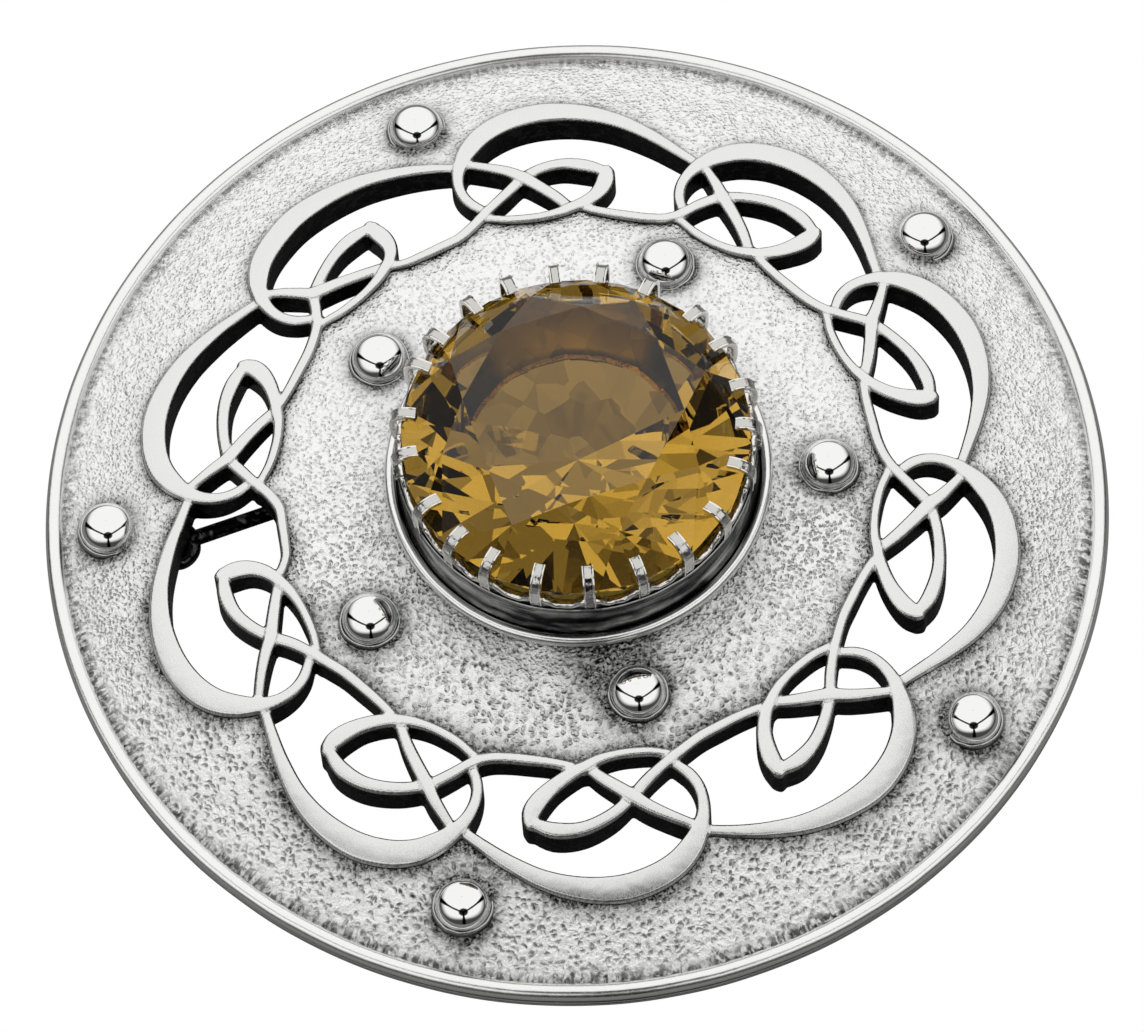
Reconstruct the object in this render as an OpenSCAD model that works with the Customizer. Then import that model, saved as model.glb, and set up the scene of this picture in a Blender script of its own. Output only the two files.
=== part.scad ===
// Round plaid brooch: a domed silver plaque pierced with a ring of knotwork,
// domed studs, and a faceted stone held by claws over the middle. It lies face up,
// on the foot of its rim, with its pin behind it. Angles in the tables run
// clockwise seen from the front, in degrees; lengths are in millimetres.

/* [Plaque] */
// Outside diameter of the brooch
brooch_d = 85; // [84:0.5:90]
// Rise of the dome from the rim to the middle
dome_h = 5.87; // [5:0.1:7]
// Thickness of the plain plate
plate_t = 1.3; // [1:0.1:1.6]
// Radius of the open back under the stone
back_hole_r = 7.4; // [7:0.1:9]

/* [Rim] */
// Radius of the half-round bead along the edge
bead_r = 0.72; // [0.6:0.02:0.8]
// Height of the plain foot under the bead
foot_h = 1.1; // [0.9:0.05:1.3]
// Width of the flat ring that the brooch rests on
foot_w = 1.5; // [1.2:0.1:2]

/* [Knotwork] */
// Number of repeats round the ring
knot_units = 10; // [10:1:10]
// How far the strands stand above the plate
knot_lift = 0.45; // [0.3:0.05:0.6]
// How far the outer strands reach below the plate's upper face
knot_depth = 2.9; // [2:0.1:3]
// How far the inner strands reach below it
knot_in_depth = 1.9; // [1.5:0.1:2.9]
// Scale of every strand's width
strand_scale = 1; // [0.8:0.05:1.1]

/* [Studs] */
// Diameter of a polished stud
stud_d = 4.3; // [3.8:0.1:4.6]
// Height of a stud's edge above the plate
stud_edge_h = 0.5; // [0.3:0.05:0.8]
// Rise of a stud's dome over its edge
stud_rise = 1.3; // [0.6:0.05:1.4]
// Diameter of the low collar that a stud is soldered in
collar_d = 4.9; // [4.7:0.1:5.2]

/* [Setting] */
// Number of claws
claw_count = 22; // [16:1:24]
// Width of a claw
claw_w = 0.9; // [0.7:0.05:1.1]
// Thickness of a claw
claw_t = 0.45; // [0.35:0.05:0.5]
// Distance from the middle of the stone to a claw's outer face
claw_out_r = 14.65; // [14.5:0.05:14.8]
// Height of a claw's arch above the girdle
claw_rise = 2.35; // [2.1:0.05:2.6]
// How far a claw's tip reaches in over the stone
claw_reach = 1.3; // [1:0.1:1.5]
// Outside radius of the setting's foot
setting_r = 15.4; // [15:0.1:16]

/* [Stone] */
// Diameter of the stone
stone_d = 27.6; // [27:0.1:27.8]
// Height of the stone's girdle above the surface the brooch lies on
girdle_z = 13.7; // [13.5:0.1:14.2]
// Height of the crown above the girdle
crown_h = 5.3; // [4.5:0.1:5.6]
// Width of the table as a share of the stone
table_share = 0.628; // [0.58:0.01:0.66]
// Slope of the pavilion below the girdle
pavilion_slope = 36.5; // [36:0.5:40]

/* [Pin] */
// Diameter of the pin's stem
stem_d = 1.3; // [1:0.1:1.4]
// Length of the stem from the hinge to the catch
stem_len = 48.5; // [46:0.5:49]
// Turn of the pin away from the left-to-right line
pin_turn = 16; // [14:1:20]

/* [Hidden] */

silver = "gainsboro";
dark_silver = "silver";
stone_brown = "peru";

round_fn = 96;
edge_r = brooch_d / 2;
bead_z = foot_h + bead_r;
field_r = edge_r - 1.5;

// Height of the plate's upper face at radius r: steep near the rim, flat in the middle
function dome(r) = bead_z + dome_h * (1 - pow(min(r / field_r, 1), 3));

// Points of the dome's profile from radius a to radius b, raised by lift
function dome_line(a, b, steps, lift) =
    [for (i = [0 : steps]) let (r = a + (b - a) * i / steps) [r, dome(r) + lift]];

function reversed(list) = [for (i = [len(list) - 1 : -1 : 0]) list[i]];
function polar(deg, r) = [r * cos(deg), r * sin(deg)];
function mix(a, b, t) = a + (b - a) * t;

// The stone and its setting sit a little off the middle
setting_at = [0.4, 0.3];

// Parts of a unit that its maker's hand moved: crest of the loop, end of the loop,
// cross of bar and ring, tip of the leaf, side of the leaf, link to the unit before
FIXED = [0, 0, 0, 0, 0, 0];
CREST = [1, 0, 0, 0, 0, 0];
END = [0, 1, 0, 0, 0, 0];
CROSS = [0, 0, 1, 0, 0, 0];
TIP = [0, 0, 0, 1, 0, 0];
LEAF = [0, 0, 0, 0, 1, 0];
LINK = [0, 0, 0, 0, 0, 1];

// Knotwork. Each strand is a row of stations along its middle line:
// [angle from the unit's start, radius, width, share in each moved part]
LOOP = [
    [ 3.4, 25.7, 0.80, FIXED],
    [ 1.5, 26.9, 0.95, FIXED],
    [ 0.8, 28.2, 1.00, FIXED],
    [ 1.2, 29.6, 1.10, FIXED],
    [ 2.4, 30.9, 1.35, FIXED],
    [ 4.4, 32.2, 1.80, 0.3 * CREST],
    [ 7.2, 33.4, 2.05, 0.7 * CREST],
    [10.8, 34.2, 2.15, CREST],
    [15.2, 34.6, 2.15, CREST],
    [20.2, 34.4, 1.90, CREST],
    [25.2, 33.7, 1.55, 0.7 * CREST + 0.3 * END],
    [30.0, 32.6, 1.25, 0.3 * CREST + 0.7 * END],
    [34.0, 31.6, 1.00, END],
    [37.6, 30.8, 0.85, END]];
BAR = [
    [ 2.8, 31.0, 0.80, FIXED],
    [ 5.4, 29.9, 0.95, 0.4 * CROSS],
    [ 7.6, 29.0, 1.10, 0.8 * CROSS],
    [ 9.5, 28.1, 1.20, CROSS],
    [12.5, 27.0, 1.15, 0.7 * CROSS],
    [15.4, 26.0, 1.05, 0.4 * CROSS],
    [18.2, 25.0, 0.90, FIXED]];
RING = [
    [-17.0, 25.0, 0.80, 0.5 * LINK],
    [-14.2, 24.6, 0.85, LINK],
    [-10.6, 24.35, 0.90, LINK],
    [-6.8, 24.3, 0.95, LINK],
    [-3.0, 24.4, 0.95, LINK],
    [ 0.5, 24.8, 0.95, 0.5 * LINK],
    [ 3.6, 25.6, 0.95, 0.3 * CROSS],
    [ 6.5, 26.8, 1.00, 0.8 * CROSS],
    [ 9.5, 28.1, 1.00, CROSS],
    [13.2, 29.1, 1.05, 0.6 * CROSS + 0.3 * TIP + 0.7 * LEAF],
    [17.4, 29.75, 1.15, 0.2 * CROSS + 0.7 * TIP + LEAF],
    [21.4, 29.75, 1.30, TIP + 0.7 * LEAF],
    [25.2, 29.2, 0.90, TIP]];
RETURN = [
    [24.9, 29.5, 0.80, TIP],
    [24.9, 28.6, 1.50, TIP],
    [24.5, 27.6, 1.55, 0.8 * TIP],
    [23.4, 26.5, 1.35, 0.5 * TIP],
    [21.6, 25.55, 1.20, 0.2 * TIP],
    [19.3, 24.85, 1.05, FIXED],
    [16.4, 24.3, 0.95, FIXED],
    [13.0, 24.05, 0.85, FIXED],
    [ 9.6, 24.1, 0.85, FIXED],
    [ 6.6, 24.35, 0.80, FIXED],
    [ 3.8, 24.85, 0.75, FIXED],
    [ 1.8, 25.1, 0.70, FIXED]];

// The units were sawn and filed by hand, so each differs a little:
// [turn of start, turn of cross, turn of tip, outward shift of each moved part]
UNITS = [
    [-0.8, -2.8, -2.9, [-0.5,  0.0, -0.8, -0.4, -0.6,  0.0]],
    [ 0.9,  2.8,  1.2, [ 0.4,  0.2,  0.1, -0.7,  0.0, -0.5]],
    [ 1.9,  0.2,  0.6, [ 0.2,  0.0,  0.4,  0.5,  0.0,  0.0]],
    [-0.1, -1.2, -0.9, [-0.1,  0.0, -0.4,  0.2, -0.5,  0.1]],
    [-1.8, -2.2,  1.1, [ 0.2,  0.0,  0.1,  0.1, -0.1, -0.1]],
    [-0.4,  0.5, -0.6, [ 0.2,  0.7, -0.7,  0.3, -0.5,  0.0]],
    [-0.2,  1.9,  2.7, [-0.2,  0.0, -0.6,  0.0,  0.0,  0.0]],
    [-0.2, -0.7,  0.6, [ 0.1,  0.1,  0.2,  0.4,  0.2,  0.1]],
    [-0.6,  0.8, -0.9, [ 0.2, -0.1, -0.9, -0.4, -0.4,  0.0]],
    [ 0.7, -0.8,  0.9, [-0.1,  0.0, -0.4, -0.5, -0.3, -0.9]]];
knot_start = -142.8;
knot_step = 360 / knot_units;
knot_in_r = 22.6;
knot_out_r = 37.4;

// Plan position of one station of unit u
function station(row, u) = let (
    hand = UNITS[u % knot_units],
    next = UNITS[(u + 1) % knot_units],
    cross = row[3] * CROSS,
    tip = row[3] * TIP,
    free = 1 - min(cross + tip, 1),
    turn = mix(hand[0], next[0], row[0] / knot_step) * free + cross * hand[1] + tip * hand[2])
    polar(-(knot_start + u * knot_step + row[0] + turn), row[1] + row[3] * hand[3]);

// Point at share t between p1 and p2 on a smooth curve through four points
function curve(p0, p1, p2, p3, t) =
    0.5 * (2 * p1 + (p2 - p0) * t + (2 * p0 - 5 * p1 + 4 * p2 - p3) * t * t
        + (3 * p1 - p0 - 3 * p2 + p3) * t * t * t);
function smooth(points, cuts) = let (last = len(points) - 1) [
    for (i = [0 : last - 1], k = [0 : cuts - 1])
        curve(points[max(i - 1, 0)], points[i], points[i + 1], points[min(i + 2, last)], k / cuts),
    points[last]];
strand_cuts = 2;
function middle_line(rows, u) = smooth([for (row = rows) station(row, u)], strand_cuts);
function widths(rows) = smooth([for (row = rows) row[2]], strand_cuts);

// Outline of a strand: its middle line moved half its width to either side
function side(points, wide, s) = let (last = len(points) - 1) [
    for (i = [0 : last]) let (
        run = points[min(i + 1, last)] - points[max(i - 1, 0)],
        across = [-run[1], run[0]] / norm(run))
        points[i] + across * s * wide[i] * strand_scale / 2];
function strand_outline(rows, u) = let (points = middle_line(rows, u), wide = widths(rows))
    concat(side(points, wide, 1), reversed(side(points, wide, -1)));

// The pierced ring runs between the crests of the loops and the inner strands
function rows_between(rows, a, b) = [for (row = rows) if (row[0] >= a && row[0] < b) row];
function ring_edge(rows) = [for (u = [0 : knot_units - 1], row = rows) station(row, u)];
OUTER_EDGE = [for (row = rows_between(LOOP, 2, 36)) if (row[1] > 30) row];
INNER_EDGE = concat(rows_between(RING, -15, 3), rows_between(reversed(RETURN), 3.8, 20));

module pierced_ring() {
    difference() {
        polygon(ring_edge(OUTER_EDGE));
        polygon(ring_edge(INNER_EDGE));
    }
}

// A ring of the dome between an upper and a lower profile line
module dome_ring(upper, under) {
    rotate_extrude($fn = round_fn) polygon(concat(upper, reversed(under)));
}

module plate() {
    difference() {
        dome_ring(dome_line(0, field_r, 8, 0), dome_line(0, field_r, 8, -plate_t));
        translate([0, 0, -1]) {
            linear_extrude(height = bead_z + dome_h + 2) pierced_ring();
            translate(setting_at) cylinder(h = bead_z + dome_h + 2, r = back_hole_r);
        }
    }
}

// Underside of the strands, cast thicker from the leaves out to the loops
thin_r = 27;
thick_r = 33;
KNOT_UNDER = [for (p = dome_line(knot_in_r, knot_out_r, 4, 0))
    p - [0, mix(knot_in_depth, knot_depth, min(max((p[0] - thin_r) / (thick_r - thin_r), 0), 1))]];

module knotwork() {
    intersection() {
        dome_ring(dome_line(knot_in_r, knot_out_r, 4, knot_lift), KNOT_UNDER);
        translate([0, 0, -1])
            linear_extrude(height = bead_z + dome_h + 2)
                for (u = [0 : knot_units - 1], rows = [LOOP, BAR, RING, RETURN])
                    polygon(strand_outline(rows, u));
    }
}

// Rim: a half-round bead over a plain foot with a softened lower edge
rim_in_r = edge_r - foot_w;
foot_out_r = edge_r - 0.35;
module rim() {
    soft = 0.3;
    rotate_extrude($fn = round_fn)
        polygon([
            [rim_in_r, 0],
            [foot_out_r - soft, 0],
            [foot_out_r, soft],
            [foot_out_r, foot_h - soft],
            [foot_out_r - soft, foot_h + 0.05],
            [foot_out_r - soft, bead_z],
            [rim_in_r, bead_z]]);
    rotate_extrude($fn = round_fn)
        translate([edge_r - bead_r, bead_z]) circle(r = bead_r, $fn = 48);
}

// Studs: [azimuth, radius], the outer ring first
STUDS = [
    [107, 36.2], [35.3, 36.5], [-36.4, 36.9], [-108, 36.2], [179, 37.4],
    [65, 20.5], [-1.6, 20.2], [-79, 19.4], [-147, 20.1], [141, 19.0]];
collar_h = 0.2;
module stud(at) {
    curve_r = (pow(stud_d / 2, 2) + pow(stud_rise, 2)) / (2 * stud_rise);
    rotate(at[0]) translate([at[1], 0, dome(at[1])]) {
        intersection() {
            translate([0, 0, stud_edge_h + stud_rise - curve_r]) sphere(r = curve_r, $fn = 48);
            translate([0, 0, -plate_t / 2]) cylinder(h = plate_t + 2, d = stud_d, $fn = 48);
        }
        translate([0, 0, -plate_t / 2])
            cylinder(h = plate_t / 2 + collar_h, d = collar_d, $fn = 48);
    }
}

module plaque() {
    color(silver) {
        plate();
        knotwork();
        rim();
        for (at = STUDS) stud(at);
    }
}

// Stone: a round brilliant cut. Main facets meet the girdle at FOLD places,
// and the points between them lie in the planes of the main facets.
FOLD = 8;
half_step = 180 / FOLD;
stone_turn = -8;
stone_r = stone_d / 2;
girdle_t = 0.5;
girdle_top_z = girdle_z + girdle_t;
table_r = stone_r * table_share;
table_z = girdle_top_z + crown_h;
crown_mid_r = stone_r * 0.785;
crown_mid_z = table_z - crown_h * (crown_mid_r * cos(half_step) - table_r) / (stone_r - table_r);
culet_z = girdle_z - stone_r * tan(pavilion_slope);
pavilion_mid_r = stone_r * 0.25;
pavilion_mid_z = culet_z + (girdle_z - culet_z) * pavilion_mid_r * cos(half_step) / stone_r;

// Setting: a foot ring, a coved collet, a gallery band and the claws
band_in_r = stone_r - 0.45;
band_out_r = stone_r + 0.35;
band_low_z = 11.2;
band_top_z = girdle_z - 0.55;
collet_low_z = dome(band_in_r - 0.6) + 0.05;
foot_bead_r = 0.5;
claw_slope = atan2(crown_mid_z - girdle_top_z, stone_r - crown_mid_r);

module collet() {
    rotate_extrude($fn = round_fn)
        polygon([
            [band_in_r - 0.6, collet_low_z],
            [setting_r - foot_bead_r, collet_low_z],
            [setting_r - foot_bead_r, collet_low_z + 0.5],
            [setting_r - 1.3, collet_low_z + 0.35],
            [setting_r - 1.45, collet_low_z + 1.1],
            [band_out_r - 0.15, collet_low_z + 2.2],
            [band_out_r - 0.3, band_low_z - 0.35],
            [band_out_r + 0.1, band_low_z],
            [band_out_r - 0.05, band_low_z + 0.35],
            [band_out_r - 0.1, band_top_z],
            [band_in_r, band_top_z],
            [band_in_r, band_low_z - 0.6]]);
    rotate_extrude($fn = round_fn)
        translate([setting_r - foot_bead_r, collet_low_z + foot_bead_r])
            circle(r = foot_bead_r, $fn = 32);
}

// One claw in profile: up past the girdle, arched inwards, its tip just over the crown
module claw() {
    arch_r = 1.55;
    middle = [claw_out_r - arch_r, girdle_top_z + claw_rise - arch_r];
    tip_r = stone_r - claw_reach;
    tip_z = girdle_top_z + claw_reach * tan(claw_slope) + 0.15;
    rotate([90, 0, 0])
        linear_extrude(height = claw_w, center = true)
            polygon(concat(
                [[band_out_r - 0.3, band_top_z - 1],
                 [band_out_r + 0.1, band_top_z - 0.85],
                 [claw_out_r - 0.05, band_top_z + 0.1]],
                [for (turn = [0 : 20 : 100]) middle + polar(turn, arch_r)],
                [[tip_r, tip_z + claw_t - 0.03],
                 [tip_r, tip_z]],
                [for (turn = [90 : -15 : 0]) middle + polar(turn, arch_r - claw_t)],
                [[claw_out_r - claw_t - 0.05, girdle_z + 0.2],
                 [band_out_r - 0.3, band_top_z - 0.1]]));
}

// Turn of each claw from its even place, as they were soldered by hand
CLAW_TURNS = [1.7, 2.6, 0.1, -0.6, -0.2, -0.8, -1.3, -1.8, 0.7, 1.5, -3.1,
    -1.8, -4.3, -0.4, -0.7, 1.2, 1.6, 2.4, 2.1, -0.4, 1.1, 0.4];
first_claw = 353;

module claw_setting() {
    color(dark_silver)
        translate(concat(setting_at, [0])) {
            collet();
            for (i = [0 : claw_count - 1])
                rotate(first_claw - i * 360 / claw_count + CLAW_TURNS[i % len(CLAW_TURNS)]) claw();
        }
}

function level(r, z, count, first) = [
    for (i = [0 : count - 1]) concat(polar(stone_turn + first + i * 360 / count, r), [z])];

module citrine() {
    girdle_count = 4 * FOLD;
    points = concat(
        level(table_r, table_z, FOLD, 0),
        level(crown_mid_r, crown_mid_z, FOLD, half_step),
        level(stone_r, girdle_top_z, girdle_count, 0),
        level(stone_r, girdle_z, girdle_count, 0),
        level(pavilion_mid_r, pavilion_mid_z, FOLD, half_step),
        [[0, 0, culet_z]]);
    mid = FOLD;
    top = 2 * FOLD;
    low = top + girdle_count;
    deep = low + girdle_count;
    culet = deep + FOLD;
    faces = concat(
        [[for (i = [FOLD - 1 : -1 : 0]) i]],
        [for (i = [0 : FOLD - 1]) let (n = (i + 1) % FOLD, p = (i + FOLD - 1) % FOLD)
            each concat(
                [[i, n, mid + i], [i, mid + i, top + 4 * i, mid + p]],
                [for (k = [0 : 3]) [mid + i, top + (4 * i + k + 1) % girdle_count, top + 4 * i + k]],
                [for (k = [0 : 3]) [deep + i, low + 4 * i + k, low + (4 * i + k + 1) % girdle_count]],
                [[culet, deep + p, low + 4 * i, deep + i]])],
        [for (i = [0 : girdle_count - 1]) let (n = (i + 1) % girdle_count)
            [top + i, top + n, low + n, low + i]]);
    color(stone_brown)
        translate(concat(setting_at, [0]))
            polyhedron(points = points, faces = faces, convexity = 2);
}

// Pin: one plain piece behind the plaque, hinge plate, stem and catch together
hinge_at = [-32.2, -0.1];
hinge_r = 2.05;
hinge_top_z = 1.6;
stem_z = 1.15;
catch_r = norm(hinge_at + polar(pin_turn, stem_len));
catch_foot_r = 1.9;
catch_top_z = dome(catch_r + catch_foot_r) - plate_t - 0.12;

module brooch_pin() {
    color(dark_silver)
        translate(concat(hinge_at, [0])) {
            translate([0, 0, 0.45]) cylinder(h = hinge_top_z - 0.45, r = hinge_r, $fn = 48);
            rotate(pin_turn) {
                // Stem
                translate([0, 0, stem_z]) rotate([0, 90, 0])
                    cylinder(h = stem_len + 2, d = stem_d, $fn = 32);
                // Catch: a post from the plate with a lip under the stem
                translate([stem_len, 0, catch_top_z - 0.7]) cylinder(h = 0.7, r = catch_foot_r, $fn = 48);
                translate([stem_len - 0.9, 0.3, 0.45]) cube([1.8, 1.1, catch_top_z - 0.8]);
                translate([stem_len - 0.9, -0.6, 0.45]) cube([1.8, 1.4, 0.35]);
            }
        }
}

plaque();
claw_setting();
citrine();
brooch_pin();
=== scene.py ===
"""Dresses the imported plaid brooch: hammered and polished silver round a faceted citrine.

Lengths in the classes are millimetres in the part's own frame, and one helper turns them to
metres. Angles of the knotwork run clockwise seen from the front, in degrees.
"""

import logging
import math
from dataclasses import dataclass
from enum import Enum

import bpy
import numpy as np
from mathutils import Matrix, Vector, noise


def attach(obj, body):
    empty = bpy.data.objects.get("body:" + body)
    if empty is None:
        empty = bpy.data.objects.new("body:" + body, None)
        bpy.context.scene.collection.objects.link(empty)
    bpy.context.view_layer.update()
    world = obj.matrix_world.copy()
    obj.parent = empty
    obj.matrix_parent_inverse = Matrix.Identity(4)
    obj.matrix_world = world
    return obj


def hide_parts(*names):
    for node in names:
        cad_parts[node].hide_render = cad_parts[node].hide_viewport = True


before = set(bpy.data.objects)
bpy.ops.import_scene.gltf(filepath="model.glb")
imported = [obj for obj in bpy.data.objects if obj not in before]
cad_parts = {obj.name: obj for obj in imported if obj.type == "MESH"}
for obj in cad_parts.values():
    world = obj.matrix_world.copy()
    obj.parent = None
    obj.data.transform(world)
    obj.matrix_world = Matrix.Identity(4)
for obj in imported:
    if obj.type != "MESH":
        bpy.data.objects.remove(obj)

MM = 0.001
LOG = logging.getLogger("plaid_brooch")
# Start of mathutils' vector noise, which otherwise comes from the clock and differs each run
NOISE_START = 1795710387
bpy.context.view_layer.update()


# ---------------------------------------------------------------- colour and nodes
def linear(hex_colour: str) -> tuple[float, float, float, float]:
    """Turns an sRGB hex colour to linear light.

    Args:
        hex_colour: Six hex digits after a hash.

    Returns:
        Red, green, blue and an alpha of one.
    """
    parts = [int(hex_colour[i:i + 2], 16) / 255 for i in (1, 3, 5)]
    red, green, blue = (
        v / 12.92 if v <= 0.04045 else ((v + 0.055) / 1.055) ** 2.4 for v in parts)
    return red, green, blue, 1.0


def add(tree: bpy.types.NodeTree, kind: str, settings: dict | None = None) -> bpy.types.Node:
    """Adds one node with its settings and links.

    Args:
        tree: The node tree that takes it.
        kind: The node's type, without the ShaderNode that each type starts with.
        settings: Properties by name, and inputs by name or number. An input is given a
            value, a hex colour, the socket that feeds it, or a node whose first output does.

    Returns:
        The new node.
    """
    node = tree.nodes.new("ShaderNode" + kind)
    for key, value in (settings or {}).items():
        if isinstance(key, str) and key not in node.inputs:
            setattr(node, key, value)
        elif isinstance(value, (bpy.types.Node, bpy.types.NodeSocket)):
            source = value.outputs[0] if isinstance(value, bpy.types.Node) else value
            tree.links.new(source, node.inputs[key])
        else:
            node.inputs[key].default_value = linear(value) if isinstance(value, str) else value
    return node


def blank_material(name: str) -> tuple[bpy.types.Material, bpy.types.NodeTree]:
    """Makes an empty node material.

    Args:
        name: What the finish is called.

    Returns:
        The material and its node tree.
    """
    material = bpy.data.materials.new(name)
    material.use_nodes = True
    material.node_tree.nodes.clear()
    return material, material.node_tree


def millimetres(tree: bpy.types.NodeTree) -> bpy.types.Node:
    """Gives the object's coordinates in millimetres, so that pattern sizes are real ones."""
    place = add(tree, "TexCoord").outputs["Object"]
    return add(tree, "VectorMath", {"operation": "SCALE", "Scale": 1 / MM, 0: place})


def metal_surface(tree: bpy.types.NodeTree, colour: bpy.types.NodeSocket,
                  gloss: bpy.types.Node, bump: bpy.types.Node) -> None:
    """Ends a silver's tree with its shader.

    Args:
        tree: The material's node tree.
        colour: Colour of the metal and what lies on it.
        gloss: Roughness.
        bump: Surface direction.
    """
    shader = add(tree, "BsdfPrincipled", {"Metallic": 1.0, "Base Color": colour,
                                          "Roughness": gloss, "Normal": bump})
    add(tree, "OutputMaterial", {"Surface": shader})


# Settings that many nodes share: a smooth change over a range, mixing of colours or numbers,
# and the sums
EASED = {"interpolation_type": "SMOOTHSTEP"}
COLOURS = {"data_type": "RGBA"}
NUMBERS = {"data_type": "FLOAT"}
TIMES = {"operation": "MULTIPLY"}
PLUS = {"operation": "ADD"}
DOT = {"operation": "DOT_PRODUCT"}


# ---------------------------------------------------------------- finishes
@dataclass(frozen=True)
class HammeredSilver:
    """Sterling silver struck all over with a small round punch, then oxidised and wiped.

    The punch leaves touching dimples, finer on the far side and coarser on the near one;
    their hollows are painted in shade, greyer than their bright rims. Oxide stays in some of
    them and in the chisel cuts along the rim, so the surface reads as pale grey stipple with
    dark specks and a dark cut border. The same dark colour paints shade beside all that
    stands up from the face, heavier on the near side.
    """

    name: str = "hammered_sterling_silver"
    bright: str = "#fbfbfa"
    dimple_shade_tone: str = "#bcbcbc"
    pit_tone: str = "#3c3c3c"
    oxide_and_shade: str = "#121212"
    fine_mm: float = 0.32
    coarse_mm: float = 0.52
    wander_mm: float = 1.11
    wander_by_mm: float = 0.8
    grain_mm: float = 0.238
    patch_mm: float = 2.78
    mark_mm: float = 0.417
    dimple_depth_mm: float = 0.14
    border_r_mm: float = 39.9
    border_fade_mm: tuple[float, float] = (0.9, 2.2)
    border_sway_mm: float = 2.2
    cut_mm: float = 0.42
    cut_len_mm: float = 0.93
    roughness: float = 0.3

    def make(self) -> bpy.types.Material:
        """Builds the material; the mesh's "wear" colours say where oxide with painted
        shade, marks and size go.

        Returns:
            The new material.
        """
        material, tree = blank_material(self.name)
        place = millimetres(tree)
        wear = add(tree, "Attribute", {"attribute_name": "wear"})
        oxide_and_shade, chisel, coarse = add(tree, "SeparateColor", {0: wear}).outputs
        # The hand wanders, so the rows of dimples do too
        wander = add(tree, "TexNoise", {"Scale": 1 / self.wander_mm, "Detail": 2.0,
                                        "Vector": place}).outputs["Color"]
        offset = add(tree, "VectorMath", {"operation": "SCALE", "Scale": self.wander_by_mm,
                                          0: wander})
        moved = add(tree, "VectorMath", PLUS | {0: place, 1: offset})
        grain = add(tree, "TexNoise", {"Scale": 1 / self.grain_mm, "Detail": 3.0,
                                       "Roughness": 0.62, "Vector": moved})
        patchy = add(tree, "TexNoise", {"Scale": 1 / self.patch_mm, "Detail": 4.0,
                                        "Roughness": 0.65, "Vector": place})
        # Small punch marks on the far side give way to large ones on the near side
        small = self.dimples(tree, moved, self.fine_mm)
        large = self.dimples(tree, moved, self.coarse_mm)
        share = add(tree, "MapRange", EASED | {
            "Value": add(tree, "Math", PLUS | {0: coarse, 1: patchy}),
            "From Min": 0.9, "From Max": 1.4})
        dimple, pit = (add(tree, "Mix", NUMBERS | {0: share, 2: small[i], 3: large[i]})
                       for i in (0, 1))
        deep = add(tree, "MapRange", EASED | {
            "Value": coarse, "From Max": 0.7, "To Min": 0.4})
        even = add(tree, "MapRange", EASED | {
            "Value": patchy, "From Min": 0.34, "From Max": 0.66, "To Min": 0.4})
        strength = add(tree, "Math", TIMES | {0: even, 1: deep})
        # Painted shade: each dimple's hollow is coloured greyer than its rim
        base = add(tree, "Mix", COLOURS | {
            0: add(tree, "Math", TIMES | {0: dimple, 1: strength}),
            6: self.bright, 7: self.dimple_shade_tone}).outputs[2]
        filled = add(tree, "MapRange", EASED | {
            "Value": grain, "From Min": 0.36, "From Max": 0.62, "To Min": 0.1})
        speck = add(tree, "Math", TIMES | {
            0: add(tree, "Math", TIMES | {0: pit, 1: strength}), 1: filled})
        base = add(tree, "Mix", COLOURS | {0: speck, 6: base, 7: self.pit_tone}).outputs[2]
        # Oxide where the buff can't reach and in the chisel cuts along the rim, with painted shade
        # beside all that stands up from the face
        wiped = add(tree, "MapRange", EASED | {
            "Value": grain, "From Min": 0.38, "From Max": 0.62, "To Min": 1.0, "To Max": 0.5})
        cut_black = add(tree, "MapRange", EASED | {
            "Value": coarse, "From Max": 0.6, "To Min": 0.6})
        oxide_cuts_and_shade = add(tree, "Math", {
            "operation": "MAXIMUM",
            0: add(tree, "Math", TIMES | {0: oxide_and_shade, 1: wiped}),
            1: add(tree, "Math", TIMES | {0: self.border(tree, place, patchy), 1: cut_black})})
        colour = add(tree, "Mix", COLOURS | {0: oxide_cuts_and_shade, 6: base, 7: self.oxide_and_shade}).outputs[2]
        # Relief: chisel marks less the dimples, with fine grain over slow waves
        marks = add(tree, "TexNoise", {"Scale": 1 / self.mark_mm, "Detail": 4.0,
                                       "Roughness": 0.7, "Distortion": 0.6, "Vector": moved})
        height = add(tree, "Math", {
            "operation": "SUBTRACT", 0: add(tree, "Math", TIMES | {0: marks, 1: chisel}),
            1: add(tree, "Math", TIMES | {0: dimple, 1: deep})})
        for layer, amount in ((grain, -0.5), (patchy, 3.0)):
            height = add(tree, "Math", PLUS | {
                0: height, 1: add(tree, "Math", TIMES | {0: layer, 1: amount})})
        bump = add(tree, "Bump", {"Strength": 1.0, "Distance": self.dimple_depth_mm * MM,
                                  "Height": height})
        gloss = add(tree, "MapRange", EASED | {
            "Value": grain, "From Min": 0.3, "From Max": 0.7,
            "To Min": self.roughness - 0.05, "To Max": self.roughness + 0.1})
        metal_surface(tree, colour, gloss, bump)
        return material

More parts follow.
